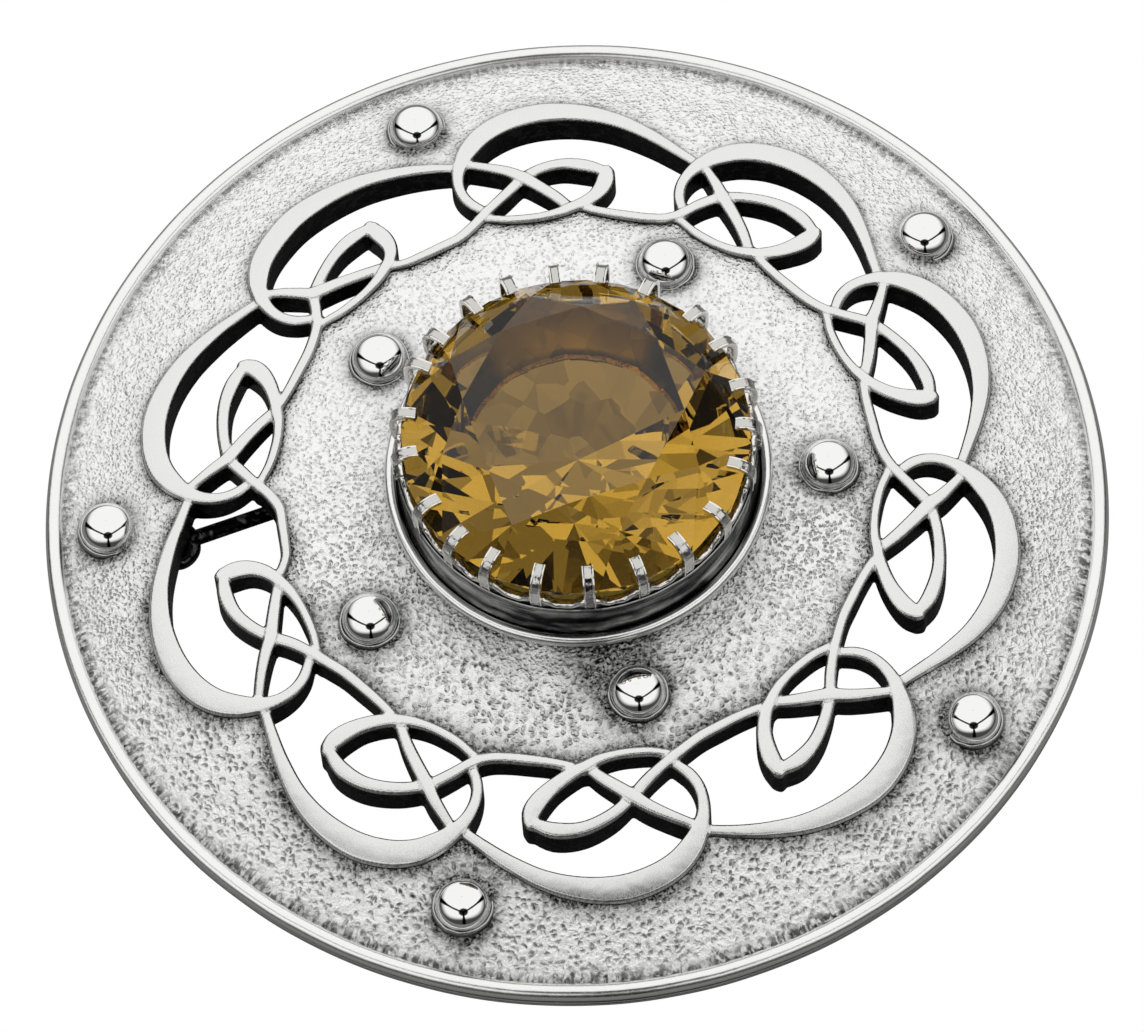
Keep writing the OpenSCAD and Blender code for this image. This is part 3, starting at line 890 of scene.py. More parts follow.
@dataclass
class KnotRelief:
    """The knotwork as one cast and filed surface on a fine grid over the plan."""

    knot: Knot
    dome: Dome
    step: float = 0.115
    reach: float = 37.8
    lift: float = 0.45
    out_depth: float = 2.9
    in_depth: float = 1.9
    thin_r: float = 27.0
    thick_r: float = 33.0
    fillet: float = 0.22
    shoulder: float = 0.2
    shoulder_drop: float = 0.15
    crown: float = 0.06
    groove: float = 0.15

    def __post_init__(self) -> None:
        """Works out the distance to the strands' edges and the relief on the grid."""
        ticks = np.arange(-self.reach, self.reach + self.step / 2, self.step)
        self.x, self.y = np.meshgrid(ticks, ticks, indexing="ij")
        self.distance = np.full(self.x.shape, 50.0)
        self.relief = np.full(self.x.shape, -1.0)
        for unit in range(len(UNITS)):
            for strand in Strand:
                self.lay(*self.knot.strand(strand, unit))
        self.top = self.surface(self.distance, self.relief)
        self.slope_x, self.slope_y = np.gradient(self.top, self.step)
        self.crease = np.hypot(*np.gradient(self.relief, self.step))

    def lay(self, line: np.ndarray, half: np.ndarray, rise: np.ndarray) -> None:
        """Lays one strand over what the grid holds.

        Args:
            line: Its middle line.
            half: Half its width along the line.
            rise: Its rise over the other strands along the line.
        """
        margin = 10 * self.fillet
        lows = np.floor((line.min(0) - margin + self.reach) / self.step).astype(int)
        highs = np.ceil((line.max(0) + margin + self.reach) / self.step).astype(int)
        block = tuple(slice(max(a, 0), b) for a, b in zip(lows, highs))
        spots = np.stack([self.x[block].ravel(), self.y[block].ravel()], axis=1)
        start, run = line[:-1], line[1:] - line[:-1]
        length = (run ** 2).sum(1)
        nearest = np.full(len(spots), 1e9)
        own_half, own_rise = np.zeros(len(spots)), np.zeros(len(spots))
        for i in range(len(run)):
            share = np.clip(((spots - start[i]) @ run[i]) / length[i], 0, 1)
            away = np.hypot(spots[:, 0] - start[i, 0] - share * run[i, 0],
                            spots[:, 1] - start[i, 1] - share * run[i, 1])
            away -= half[i] + (half[i + 1] - half[i]) * share
            near = away < nearest
            nearest[near] = away[near]
            own_half[near] = (half[i] + (half[i + 1] - half[i]) * share)[near]
            own_rise[near] = (rise[i] + (rise[i + 1] - rise[i]) * share)[near]
        inside = np.clip(-nearest, 0, own_half) / own_half
        height = (own_rise + self.crown * own_half * (1 - (1 - inside) ** 2)
                  - self.groove * smoothstep(-0.16, 0.05, nearest))
        shape = self.x[block].shape
        nearest, height = nearest.reshape(shape), height.reshape(shape)
        old = self.distance[block]
        share = np.clip(0.5 + 0.5 * (nearest - old) / self.fillet, 0, 1)
        self.distance[block] = (nearest * (1 - share) + old * share
                                - self.fillet * share * (1 - share))
        self.relief[block] = np.maximum(self.relief[block], height)

    def surface(self, distance: np.ndarray, relief: np.ndarray) -> np.ndarray:
        """Height of the strands' upper face over the grid.

        Args:
            distance: Distance to the strands' edges, below zero inside them.
            relief: Height over the plain strand.

        Returns:
            The height, with the filed shoulders.
        """
        inside = -distance / self.shoulder
        rounding = np.where(inside < 0, 2 * inside - 1, -(1 - np.minimum(inside, 1)) ** 2)
        return (self.dome.height(np.hypot(self.x, self.y)) + self.lift + relief
                + self.shoulder_drop * rounding)

    def underside(self, spots: np.ndarray) -> np.ndarray:
        """Height of the strands' underside, cast thicker from the leaves out to the loops.

        Args:
            spots: Plan places.

        Returns:
            The height at each.
        """
        radius = np.hypot(*spots.T)
        share = np.clip((radius - self.thin_r) / (self.thick_r - self.thin_r), 0, 1)
        return (self.dome.height(radius) - self.in_depth
                - (self.out_depth - self.in_depth) * share)

    def at(self, values: np.ndarray, spots: np.ndarray) -> np.ndarray:
        """Reads a grid of values at plan places.

        Args:
            values: The grid.
            spots: Plan places.

        Returns:
            The value at each place, and the nearest edge's value outside the grid.
        """
        place = (spots + self.reach) / self.step
        low = np.clip(np.floor(place).astype(int), 0, np.array(values.shape) - 2)
        share = np.clip(place - low, 0, 1)
        i, j = low.T
        a, b = share.T
        return ((values[i, j] * (1 - a) + values[i + 1, j] * a) * (1 - b)
                + (values[i, j + 1] * (1 - a) + values[i + 1, j + 1] * a) * b)

    def mesh(self) -> tuple[np.ndarray, np.ndarray, list, list]:
        """Cuts the surface out along the strands' edges.

        Returns:
            Points, their surface directions with the crease strength as a fourth column,
            faces, and the directed edges of the outline.
        """
        gap = self.distance.copy()
        slope = np.stack(np.gradient(gap, self.step))
        size = np.maximum((slope ** 2).sum(0), 0.2)
        close = np.abs(gap) < 0.4 * self.step
        x, y = self.x.copy(), self.y.copy()
        x[close] -= (gap * slope[0] / size)[close]
        y[close] -= (gap * slope[1] / size)[close]
        gap[close] = 0.0
        inside = gap <= 0
        number = np.full(gap.shape, -1)
        number[inside] = np.arange(inside.sum())
        data = np.stack([x, y, self.top, self.slope_x, self.slope_y, self.crease], axis=-1)
        data[close, 2] = self.at(self.top, np.stack([x[close], y[close]], axis=1))
        rows = list(data[inside])
        corners = (number[:-1, :-1], number[1:, :-1], number[1:, 1:], number[:-1, 1:])
        held = sum((c >= 0).astype(int) for c in corners)
        full = held == 4
        faces = np.stack([c[full] for c in corners], axis=1).tolist()
        cuts: dict = {}

        def crossing(a: tuple[int, int], b: tuple[int, int]) -> int:
            """Finds the point where the outline crosses an edge of the grid.

            Args:
                a: Grid place of the edge's end inside the strands.
                b: Grid place of its end outside.

            Returns:
                Number of the point, added to the rows the first time.
            """
            if gap[a] == 0:
                return int(number[a])
            if (a, b) not in cuts:
                share = gap[a] / (gap[a] - gap[b])
                cuts[a, b] = len(rows)
                rows.append(data[a] * (1 - share) + data[b] * share)
            return cuts[a, b]

        rim_faces = []
        for i, j in np.argwhere((held > 0) & ~full):
            ring = [(i, j), (i + 1, j), (i + 1, j + 1), (i, j + 1)]
            polygon = []
            for k in range(4):
                a, b = ring[k], ring[(k + 1) % 4]
                if inside[a]:
                    polygon.append(int(number[a]))
                if inside[a] != inside[b]:
                    polygon.append(crossing(a, b) if inside[a] else crossing(b, a))
            polygon = [p for k, p in enumerate(polygon) if p != polygon[k - 1]]
            if len(set(polygon)) == len(polygon) > 2:
                rim_faces.append(polygon)
        faces += rim_faces
        seen = {(face[k - 1], face[k]) for face in faces for k in range(len(face))}
        outline = [edge for edge in seen if (edge[1], edge[0]) not in seen]
        rows = np.array(rows)
        normals = np.stack([-rows[:, 3], -rows[:, 4], np.ones(len(rows))], axis=1)
        normals /= np.linalg.norm(normals, axis=1)[:, None]
        return rows[:, :3], np.column_stack([normals, rows[:, 5]]), faces, outline


@dataclass
class Plaque(SubAssembly):
    """The domed plate with its rim, knotwork and domed studs."""

    dome: Dome
    relief: KnotRelief
    rim_bead_r: float = 0.72
    foot_in_r: float = 41.0
    stud_r: float = 2.2
    stud_edge_h: float = 0.5
    stud_rise: float = 1.3
    stud_base_h: float = 0.15
    stud_fullness: float = 2.1
    collar_r: float = 2.4
    setting_r: float = 15.4
    # Painted shadow of the setting: a dark cloud on the plate in front of it, its middle, size and
    # darkness
    cloud_at: tuple[float, float] = (2.2, -17.7)
    cloud_r: float = 2.7
    cloud_shadow_black: float = 1.9
    back_wear: tuple[float, float, float] = (0.35, 0.3, 0.2)
    node: str = "plaque"
    slot: str = "hammered_silver"
    # Azimuth and radius of each stud
    studs: tuple = ((107, 36.2), (35.3, 36.5), (-36.4, 36.9), (-108, 36.2), (179, 37.4),
                    (65, 20.5), (-1.6, 20.2), (-79, 19.4), (-147, 20.1), (141, 19.0))
    # Strands at the edges of the pierced ring: first and last angle and least radius
    crest: tuple = ((Strand.LOOP, 2, 36, 30),)
    link: tuple = ((Strand.RING, -15, 3, 0), (Strand.RETURN, 3.8, 20, 0))
    # Uneven waves of the hammered face: length, height, more height by the rim, seed
    waves: tuple = ((2.6, 0.035, 0.05, 1.0), (0.9, 0.015, 0.03, 2.0))
    # Radius, height over the plate and oxide of a stud's collar
    collar: tuple = ((2.14, 0.06, 1.0), (2.22, 0.16, 0.8), (2.3, 0.24, 0.15), (2.38, 0.2, 0.1),
                     (2.44, 0.06, 0.7), (2.52, -0.3, 1.0))

    def stud_places(self) -> np.ndarray:
        """Plan places of the studs."""
        return np.array([(r * math.cos(math.radians(a)), r * math.sin(math.radians(a)))
                         for a, r in self.studs])

    def wear(self, spots: np.ndarray) -> np.ndarray:
        """Says what lies on the hammered face, and where shade is painted on it.

        Oxide and painted shade gather beside the strands, round the studs, round the stone's
        setting and along the rim, and more of both on the side towards the wearer's feet, where
        painted shadow also falls beside each stud and in a cloud in front of the setting.

        Args:
            spots: Plan places.

        Returns:
            Oxide with painted shade, chisel marks and coarseness at each place.
        """
        low_side = smoothstep(15, -30, spots[:, 1])
        to_strand = self.relief.at(self.relief.distance, spots)
        aside = spots[:, None] - self.stud_places()[None]
        to_studs = np.hypot(aside[..., 0], aside[..., 1])
        nearest, to_middle = to_studs.argmin(1), to_studs.min(1)
        # Painted shadow on the side of each stud towards the wearer's feet
        below = smoothstep(-0.2, 0.9, -aside[np.arange(len(spots)), nearest, 1] / to_middle)
        to_stud = to_middle - self.collar_r
        to_stone = np.hypot(*(spots - np.array(self.dome.hole_at)).T) - self.setting_r
        to_rim = self.foot_in_r - 0.1 - np.hypot(*spots.T)
        patchy = 0.8 + 0.7 * ripple(spots, 2.6, 4.0)
        # Oxide mixed with painted shade: dark halos beside the strands, studs, setting and rim,
        # heavier on the low side, and the setting's painted shadow cloud
        oxide_and_shade = (fade(to_strand, 0.3 + 0.34 * low_side)
                 + (0.1 + 0.5 * low_side) * fade(to_strand, 0.8)
                 + (0.9 + 0.9 * below) * fade(to_stud, 0.4)
                 + (0.15 + 0.45 * low_side) * fade(to_stud, 0.9)
                 + (0.2 + 0.7 * low_side) * fade(to_stone, 1.5)
                 + (0.2 + 0.45 * low_side) * fade(to_rim, 0.2 + 0.15 * low_side)
                 + self.cloud_shadow_black * np.exp(-((spots - self.cloud_at) ** 2).sum(1)
                                             / self.cloud_r ** 2))
        chisel = (0.1 + 1.6 * fade(to_rim, 0.3 + 0.2 * low_side) + 1.1 * fade(to_stud, 0.7)
                  + (0.3 + 0.7 * low_side) * fade(to_strand, 0.5))
        return np.stack([np.clip(oxide_and_shade * patchy, 0, 1), np.clip(chisel, 0, 1.6), low_side],
                        axis=1)

    def sheet(self, name: str, inner: np.ndarray, outer: np.ndarray, centre: tuple[float, float],
              rows: int, upper: bool) -> None:
        """Builds one face of the plate between two closed edges.

        Args:
            name: Object name.
            inner: Radius of the inner edge at each step round, about the centre.
            outer: Radius of the outer edge at each step round, about the middle.
            centre: Plan place that the inner edge is measured from.
            rows: Number of rows between the edges.
            upper: True for the hammered face, false for the back.
        """
        turn = np.linspace(-math.pi, math.pi, len(inner), endpoint=False)
        way = np.stack([np.cos(turn), np.sin(turn)], axis=1)
        start, end = np.array(centre) + way * inner[:, None], way * outer[:, None]
        share = np.linspace(0, 1, rows + 1)[None, :, None]
        spots = (start[:, None] * (1 - share) + end[:, None] * share).reshape(-1, 2)
        radius = np.hypot(*spots.T)
        height = self.dome.height(radius)
        faces = grid_faces(len(inner), rows + 1, True, by_row=True)
        if upper:
            near_rim = smoothstep(36, 40.5, radius)
            for length, tall, more, seed in self.waves:
                height = height + (tall + more * near_rim) * ripple(spots, length, seed)
            wear = self.wear(spots)
        else:
            height, faces = height - self.dome.plate_t, flipped(faces)
            wear = np.full((len(spots), 3), self.back_wear)
        self.piece(name, np.column_stack([spots, height]), faces, Finish.FIELD, wear=wear)

    def plate(self) -> None:
        """Builds the field inside and outside the ring, its back and the hole's wall."""
        hole_at, hole_r = self.dome.hole_at, self.dome.hole_r
        for side, steps, inner_rows, outer_rows in (("front", 900, 34, 24), ("back", 360, 8, 5)):
            turn = np.linspace(-math.pi, math.pi, steps, endpoint=False)
            crest, link = (np.interp(turn, *self.relief.knot.edge(parts), period=2 * math.pi)
                           for parts in (self.crest, self.link))
            self.sheet(f"inner_field_{side}", np.full(steps, hole_r), link, hole_at,
                       inner_rows, side == "front")
            self.sheet(f"outer_field_{side}", crest, np.full(steps, self.dome.field_r + 0.1),
                       (0, 0), outer_rows, side == "front")
        top = float(self.dome.height(np.array(hole_r)))
        wall = np.array([(hole_r, top - self.dome.plate_t), (hole_r, top)])
        points, faces = lathe(wall, 180, False, hole_at)
        self.piece("back_hole_wall", points, flipped(faces), Finish.WALL)

    def strands(self) -> None:
        """Builds the knotwork: its buffed top, black walls and plain back."""
        points, directions, faces, outline = self.relief.mesh()
        crease = smoothstep(0.5, 1.4, directions[:, 3]) * 0.75
        to_edge = self.relief.at(self.relief.distance, points[:, :2])
        crease = np.maximum(crease, 0.7 * smoothstep(-0.11, -0.02, to_edge))
        self.piece("knotwork", points, faces, Finish.STRAND, wear=crease[:, None],
                   normals=directions[:, :3])
        used = sorted({p for edge in outline for p in edge})
        order = {p: i for i, p in enumerate(used)}
        top, count = points[used], len(used)
        low = np.column_stack([top[:, :2], self.relief.underside(top[:, :2])])
        walls = [(order[b], order[a], order[a] + count, order[b] + count) for a, b in outline]
        self.piece("opening_walls", np.concatenate([top, low]), walls, Finish.WALL)
        back = np.column_stack([points[:, :2], self.relief.underside(points[:, :2])])
        self.piece("knotwork_back", back, flipped(faces), Finish.WALL)

    def rim(self) -> None:
        """Builds the rim: a half-round bead over two fine ridges, with oxide between them and
        painted shade at its foot.
        """
        steps = 480
        bead_at = (self.dome.edge_r - self.rim_bead_r, self.dome.bead_z)
        # Profile from the inside over the bead and down to the foot, each part with its oxide;
        # the dark at the foot is painted shade
        parts = (([(self.foot_in_r, 0.0), (self.foot_in_r, 1.5)], 0.3),
                 ([(bead_at[0] - self.rim_bead_r + 0.02, self.dome.bead_z - 0.15)], 0.6),
                 (arc(bead_at, self.rim_bead_r, 170, -8, 22), 0.0),
                 ([(42.3, 1.6), (42.34, 1.3)], 0.95),
                 (arc((42.3, 1.18), 0.12, 50, -50, 6), 0.1),
                 ([(42.26, 1.02), (42.28, 0.84)], 0.95),
                 (arc((42.08, 0.52), 0.26, 70, -60, 8), 0.3),
                 # Painted shade where the rim meets the board
                 ([(42.0, 0.2), (41.98, 0.05), (41.85, 0.0)], 0.9))
        profile = np.concatenate([np.array(points) for points, _ in parts])
        oxide_and_shade = np.concatenate([np.full(len(points), oxide_and_shade) for points, oxide_and_shade in parts])
        points, faces = lathe(profile, steps, True, sway=0.035, sway_mm=5.0)
        points[:, 2] = np.maximum(points[:, 2], 0.0)
        radius = np.hypot(points[:, 0], points[:, 1])
        points[:, :2] *= np.minimum(1, self.dome.edge_r / radius)[:, None]
        self.piece("rim", points, faces, Finish.RIM, wear=np.tile(oxide_and_shade, steps)[:, None])

    def bosses(self) -> None:
        """Builds the studs: full mirror domes in punched collars."""
        swell = np.radians(np.linspace(0.5, 88, 26))
        full = 2 / self.stud_fullness
        tall = self.stud_edge_h + self.stud_rise - self.stud_base_h
        dome = np.stack([self.stud_r * np.sin(swell) ** full,
                         self.stud_base_h + tall * np.cos(swell) ** full], axis=1)
        dome = np.concatenate([dome, [(self.stud_r + 0.02, -0.3)]])
        collar, oxide_and_shade = np.array(self.collar)[:, :2], np.array(self.collar)[:, 2]
        domes, collars = [], []
        for number, place in enumerate(self.stud_places()):
            base = (0, float(self.dome.height(np.hypot(*place))))
            domes.append(lathe(dome + base, 64, False, place))
            collars.append(lathe(collar + base, 72, False, place, sway=0.07,
                                 sway_mm=0.7 + 0.03 * number))
        points, faces = joined(domes)
        self.piece("domed_studs", points, flipped(faces), Finish.STUD)
        points, faces = joined(collars)
        self.piece("stud_collars", points, flipped(faces), Finish.COLLAR,
                   wear=np.tile(oxide_and_shade, len(points) // len(oxide_and_shade))[:, None])

    def build(self) -> None:
        """Builds every piece of the plaque."""
        self.plate()
        self.strands()
        self.rim()
        self.bosses()


@dataclass
class Setting(SubAssembly):
    """The stone's setting: rolled foot, dark cove, scalloped gallery and claws."""

    at: tuple[float, float] = (0.4, 0.3)
    foot_r: float = 15.4
    foot_z: float = 7.55
    stone_r: float = 13.8
    girdle_z: float = 14.2
    foot_bead_r: float = 0.5
    gallery_r: float = 14.2
    gallery_top_z: float = 13.3
    gallery_dip: float = 0.75
    claw_w: float = 0.9
    claw_t: float = 0.42
    claw_out_r: float = 14.65
    claw_rise: float = 2.35
    claw_reach: float = 1.3
    arch_r: float = 1.55
    crown_slope: float = 52.7
    first_claw: float = 353.0
    node: str = "claw_setting"
    slot: str = "setting_silver"
    # Turn of each claw from its even place, as it was soldered by hand
    turns: tuple = (1.7, 2.6, 0.1, -0.6, -0.2, -0.8, -1.3, -1.8, 0.7, 1.5, -3.1,
                    -1.8, -4.3, -0.4, -0.7, 1.2, 1.6, 2.4, 2.1, -0.4, 1.1, 0.4)

    # Radius and height of the cove from the foot up, and of the cup's lining from the top down
    cove: tuple = ((14.3, 8.1), (14.42, 8.35), (14.3, 8.6), (14.12, 9.2), (13.98, 9.9),
                   (13.92, 10.5), (13.94, 10.95), (13.9, 11.3), (13.92, 11.7), (14.1, 11.78),
                   (14.28, 11.88), (14.3, 12.0), (14.2, 12.08))
    lining: tuple = ((13.35, 12.3), (12.6, 12.1), (11.8, 11.4), (11.0, 10.75), (10.0, 9.95),
                     (9.0, 9.1), (8.3, 8.5), (7.75, 8.05), (7.75, 7.7), (8.2, 7.66), (14.3, 8.1))

    def azimuths(self) -> np.ndarray:
        """Azimuth of each claw in degrees."""
        step = 360 / len(self.turns)
        return self.first_claw - np.arange(len(self.turns)) * step + np.array(self.turns)

    def foot(self) -> None:
        """Builds the rolled foot."""
        steps, bead = 240, self.foot_bead_r
        roll = arc((self.foot_r - bead, self.foot_z + bead), bead, -90, 150, 16)
        inside = [(self.foot_r - 1.02, self.foot_z + 0.62), (self.foot_r - 1.05,
                                                             self.foot_z + 0.02)]
        profile = np.concatenate([roll, inside])
        points, faces = lathe(profile, steps, True, self.at, sway=0.03, sway_mm=3.0)
        points[:, 2] = np.maximum(points[:, 2], self.foot_z)
        oxide_and_shade = np.zeros(len(profile))
        oxide_and_shade[-3:] = 0.8
        self.piece("rolled_foot", points, faces, Finish.RIM, wear=np.tile(oxide_and_shade, steps)[:, None])

    def cup(self) -> None:
        """Builds the dark cove and the satin lining that the stone's light comes from."""
        steps, line = 480, np.array(self.cove)
        cuts = np.linspace(0, len(line) - 1, 40)
        cove = np.stack([np.interp(cuts, np.arange(len(line)), line[:, k]) for k in (0, 1)], axis=1)
        points, faces = lathe(cove, steps, False, self.at, sway=0.05, sway_mm=2.5)
        turn = np.repeat(np.arange(steps) * 2 * math.pi / steps, len(cove))
        high = np.tile(cove[:, 1], steps)
        streak = np.array([noise.noise(Vector((math.cos(t) * 2.2, math.sin(t) * 2.2, z * 1.7)))
                           + 0.5 * noise.noise(Vector((math.cos(t) * 9, math.sin(t) * 9, z * 4)))
                           for t, z in zip(turn, high)])
        # Oxide left in streaks, with painted shade: darker towards the right, under the lip and
        # down at the foot
        right = smoothstep(-12, 4, self.at[0] + 14 * np.cos(turn))
        shade_under_lip = smoothstep(10.8, 11.2, high) * smoothstep(11.85, 11.7, high)
        black = np.clip(0.55 + 0.35 * right + 1.2 * streak, 0, 1)
        black = np.maximum.reduce([black, shade_under_lip, smoothstep(8.6, 8.2, high)])
        black *= 1 - smoothstep(11.8, 11.9, high)
        self.piece("cove", points, flipped(faces), Finish.COVE, wear=black[:, None])
        points, faces = lathe(np.array(self.lining), 180, False, self.at, sway=0.03, sway_mm=4.0)
        aside = points[:, :2] - self.at
        # Painted shade: the lining is darkened at its left and right sides and at its foot
        lining_shade = smoothstep(0.5, 0.75, np.abs(aside[:, 0]) / np.hypot(*aside.T)) * 0.97
        lining_shade = np.maximum(lining_shade, 0.8 * smoothstep(8.2, 7.9, points[:, 2]))
        self.piece("cup_lining", points, faces, Finish.LINING, wear=lining_shade[:, None])

    def gallery(self) -> None:
        """Builds the gallery band, whose top edge dips between the claws."""
        steps = 24 * len(self.turns)
        turn = np.arange(steps) * 360 / steps
        apart = np.abs((turn[:, None] - self.azimuths()[None] + 180) % 360 - 180).min(1)
        points = []
        for angle, down in zip(np.radians(turn), smoothstep(1.6, 6.5, apart)):
            rough = 0.05 * noise.noise(Vector((math.cos(angle) * 16, math.sin(angle) * 16, 1.0)))
            top = self.gallery_top_z - self.gallery_dip * down + rough
            out = self.gallery_r - 0.05 * down + rough
            ring = ((13.4, 11.9), (13.45, top - 0.12), (13.5, top), (out - 0.14, top),
                    (out, top - 0.1), (out - 0.04, top - 0.4), (out - 0.1, 11.9))
            points += [(self.at[0] + r * math.cos(angle), self.at[1] + r * math.sin(angle), z)
                       for r, z in ring]
        oxide_and_shade = np.array((0, 0, 0, 0, 0, 0.35, 0.75))
        self.piece("gallery", np.array(points), flipped(grid_faces(steps, len(oxide_and_shade), True)),
                   Finish.CLAW, wear=np.tile(oxide_and_shade, steps)[:, None])

    def claw_line(self, reach: float, rise: float) -> np.ndarray:
        """Middle line of a claw's outer face in profile: up, arched over, down to the crown.

        Args:
            reach: How far the tip reaches in over the stone.
            rise: Height of the arch above the girdle.

        Returns:
            Radius and height of each point.
        """
        middle = (self.claw_out_r - self.arch_r, self.girdle_z + rise - self.arch_r)
        leg = [(self.claw_out_r - 0.35, 12.35), (self.claw_out_r - 0.08, 13.1),
               (self.claw_out_r - 0.02, 14.0)]
        tip_z = self.girdle_z + reach * math.tan(math.radians(self.crown_slope)) + 0.15
        tip = (self.stone_r - reach, tip_z + self.claw_t - 0.03)
        return np.concatenate([leg, arc(middle, self.arch_r, 0, 100, 12), [tip]])

    def claws(self) -> None:
        """Builds the claws: flat strips arched over the girdle, their faces a little hollow."""
        shapes, oxide_and_shade = [], []
        hollow = (0.4, 0.0, 0.0, 0.3, 0.3, 0.0, 0.0, 0.4)
        for number, azimuth in enumerate(self.azimuths()):
            wobble = noise.noise_vector(Vector((number * 1.7, 3.0, 5.0)))
            line = self.claw_line(self.claw_reach + 0.2 * wobble[0],
                                  self.claw_rise + 0.25 * wobble[0] + 0.1 * wobble[1])
            half = self.claw_w / 2 * (1 + 0.12 * wobble[1])
            across = ((-half, -1.0), (-half, -0.06), (0.09 - half, 0.0), (0.17 - half, -0.14),
                      (half - 0.17, -0.14), (half - 0.09, 0.0), (half, -0.06), (half, -1.0))
            run = np.gradient(line, axis=0)
            run /= np.linalg.norm(run, axis=1)[:, None]
            out = np.stack([run[:, 1], -run[:, 0]], axis=1)
            centre = math.radians(azimuth)
            twist = centre + 0.09 * wobble[2]
            points = []
            for place, away in zip(line, out):
                for side, share in across:
                    r, z = place + away * self.claw_t * share
                    points.append((self.at[0] + r * math.cos(centre) - side * math.sin(twist),
                                   self.at[1] + r * math.sin(centre) + side * math.cos(twist), z))
            width, last = len(across), len(points) - len(across)
            faces = flipped(grid_faces(len(line), width, round_columns=True, by_row=True))
            faces += [tuple(last + m for m in reversed(range(width))), tuple(range(width))]
            shapes.append((np.array(points), faces))
            oxide_and_shade += hollow * len(line)
        points, faces = joined(shapes)
        crisp(self.piece("claws", points, faces, Finish.CLAW, wear=np.array(oxide_and_shade)[:, None]), 34)

    def build(self) -> None:
        """Builds every piece of the setting."""
        self.foot()
        self.cup()
        self.gallery()
        self.claws()


@dataclass
class Citrine(SubAssembly):
    """The stone: a round brilliant with star, kite and split facets."""

    at: tuple[float, float] = (0.4, 0.3)
    turn: float = -8.0
    fold: int = 8
    radius: float = 13.8
    table_r: float = 8.67
    girdle_z: float = 13.7
    girdle_top_z: float = 14.2
    table_z: float = 19.5
    mid_r: float = 10.83
    culet_z: float = 3.49
    # Pavilion rows: share of the radius, share of the depth, number of points, share of a
    # step they are turned by
    rows: tuple = ((0.25, 0.231, 8, 0.5),)
    pavilion_turn: float = -3.0
    node: str = "citrine"
    slot: str = "citrine"

    def level(self, radius: float, height: float, count: int, first: float) -> list:
        """Points at one height round the stone.

        Args:
            radius: Their distance from its middle.
            height: Their height.
            count: Number of points.
            first: Angle of the first one from the stone's own turn, in degrees.

        Returns:
            The points.
        """
        angles = [math.radians(self.turn + first + i * 360 / count) for i in range(count)]
        return [(self.at[0] + radius * math.cos(a), self.at[1] + radius * math.sin(a), height)
                for a in angles]

    @staticmethod
    def band(upper: list, lower: list) -> list:
        """Joins two rings of points with triangles.

        Args:
            upper: Number and angle of each point of the upper ring, in order.
            lower: The same for the ring below.

        Returns:
            Faces.
        """
        faces, i, j = [], 0, 0
        while i < len(upper) or j < len(lower):
            ahead = upper[(i + 1) % len(upper)][1] + 360 * ((i + 1) // len(upper))
            below = lower[(j + 1) % len(lower)][1] + 360 * ((j + 1) // len(lower))
            here, under = upper[i % len(upper)][0], lower[j % len(lower)][0]
            if j >= len(lower) or (i < len(upper) and ahead <= below):
                faces.append((here, under, upper[(i + 1) % len(upper)][0]))
                i += 1
            else:
                faces.append((here, under, lower[(j + 1) % len(lower)][0]))
                j += 1
        return faces

    def build(self) -> None:
        """Builds the stone with flat, sharp facets."""
        fold, half = self.fold, 180 / self.fold
        cosine = math.cos(math.radians(half))
        crown_h = self.table_z - self.girdle_top_z
        mid_z = self.table_z - crown_h * (self.mid_r * cosine - self.table_r) / (
            self.radius - self.table_r)
        depth = self.girdle_z - self.culet_z
        count = 4 * fold
        points = (self.level(self.table_r, self.table_z, fold, 0)
                  + self.level(self.mid_r, mid_z, fold, half)
                  + self.level(self.radius, self.girdle_top_z, count, 0)
                  + self.level(self.radius, self.girdle_z, 2 * fold, self.pavilion_turn))
        mid, top, low = fold, 2 * fold, 2 * fold + count
        faces = [tuple(range(fold))]
        for i in range(fold):
            n, p = (i + 1) % fold, (i - 1) % fold
            faces += [(n, i, mid + i), (i, mid + p, top + 4 * i, mid + i)]
            faces += [(mid + i, top + 4 * i + k, top + (4 * i + k + 1) % count) for k in range(4)]
        upper = [(low + i, 180 * i / fold) for i in range(2 * fold)]
        faces += self.band([(top + i, 360 * i / count) for i in range(count)], upper)
        for share, down, number, shift in self.rows:
            start = len(points)
            height = self.culet_z + depth * down
            points += self.level(self.radius * share, height, number,
                                 360 / number * shift + self.pavilion_turn)
            lower = [(start + i, 360 / number * (i + shift)) for i in range(number)]
            faces += self.band(upper, lower)
            upper = lower
        culet = len(points)
        points.append((self.at[0], self.at[1], self.culet_z))
        faces += [(upper[i][0], culet, upper[(i + 1) % len(upper)][0]) for i in range(len(upper))]
        self.piece("citrine_stone", np.array(points), faces, Finish.STONE, smooth=False)


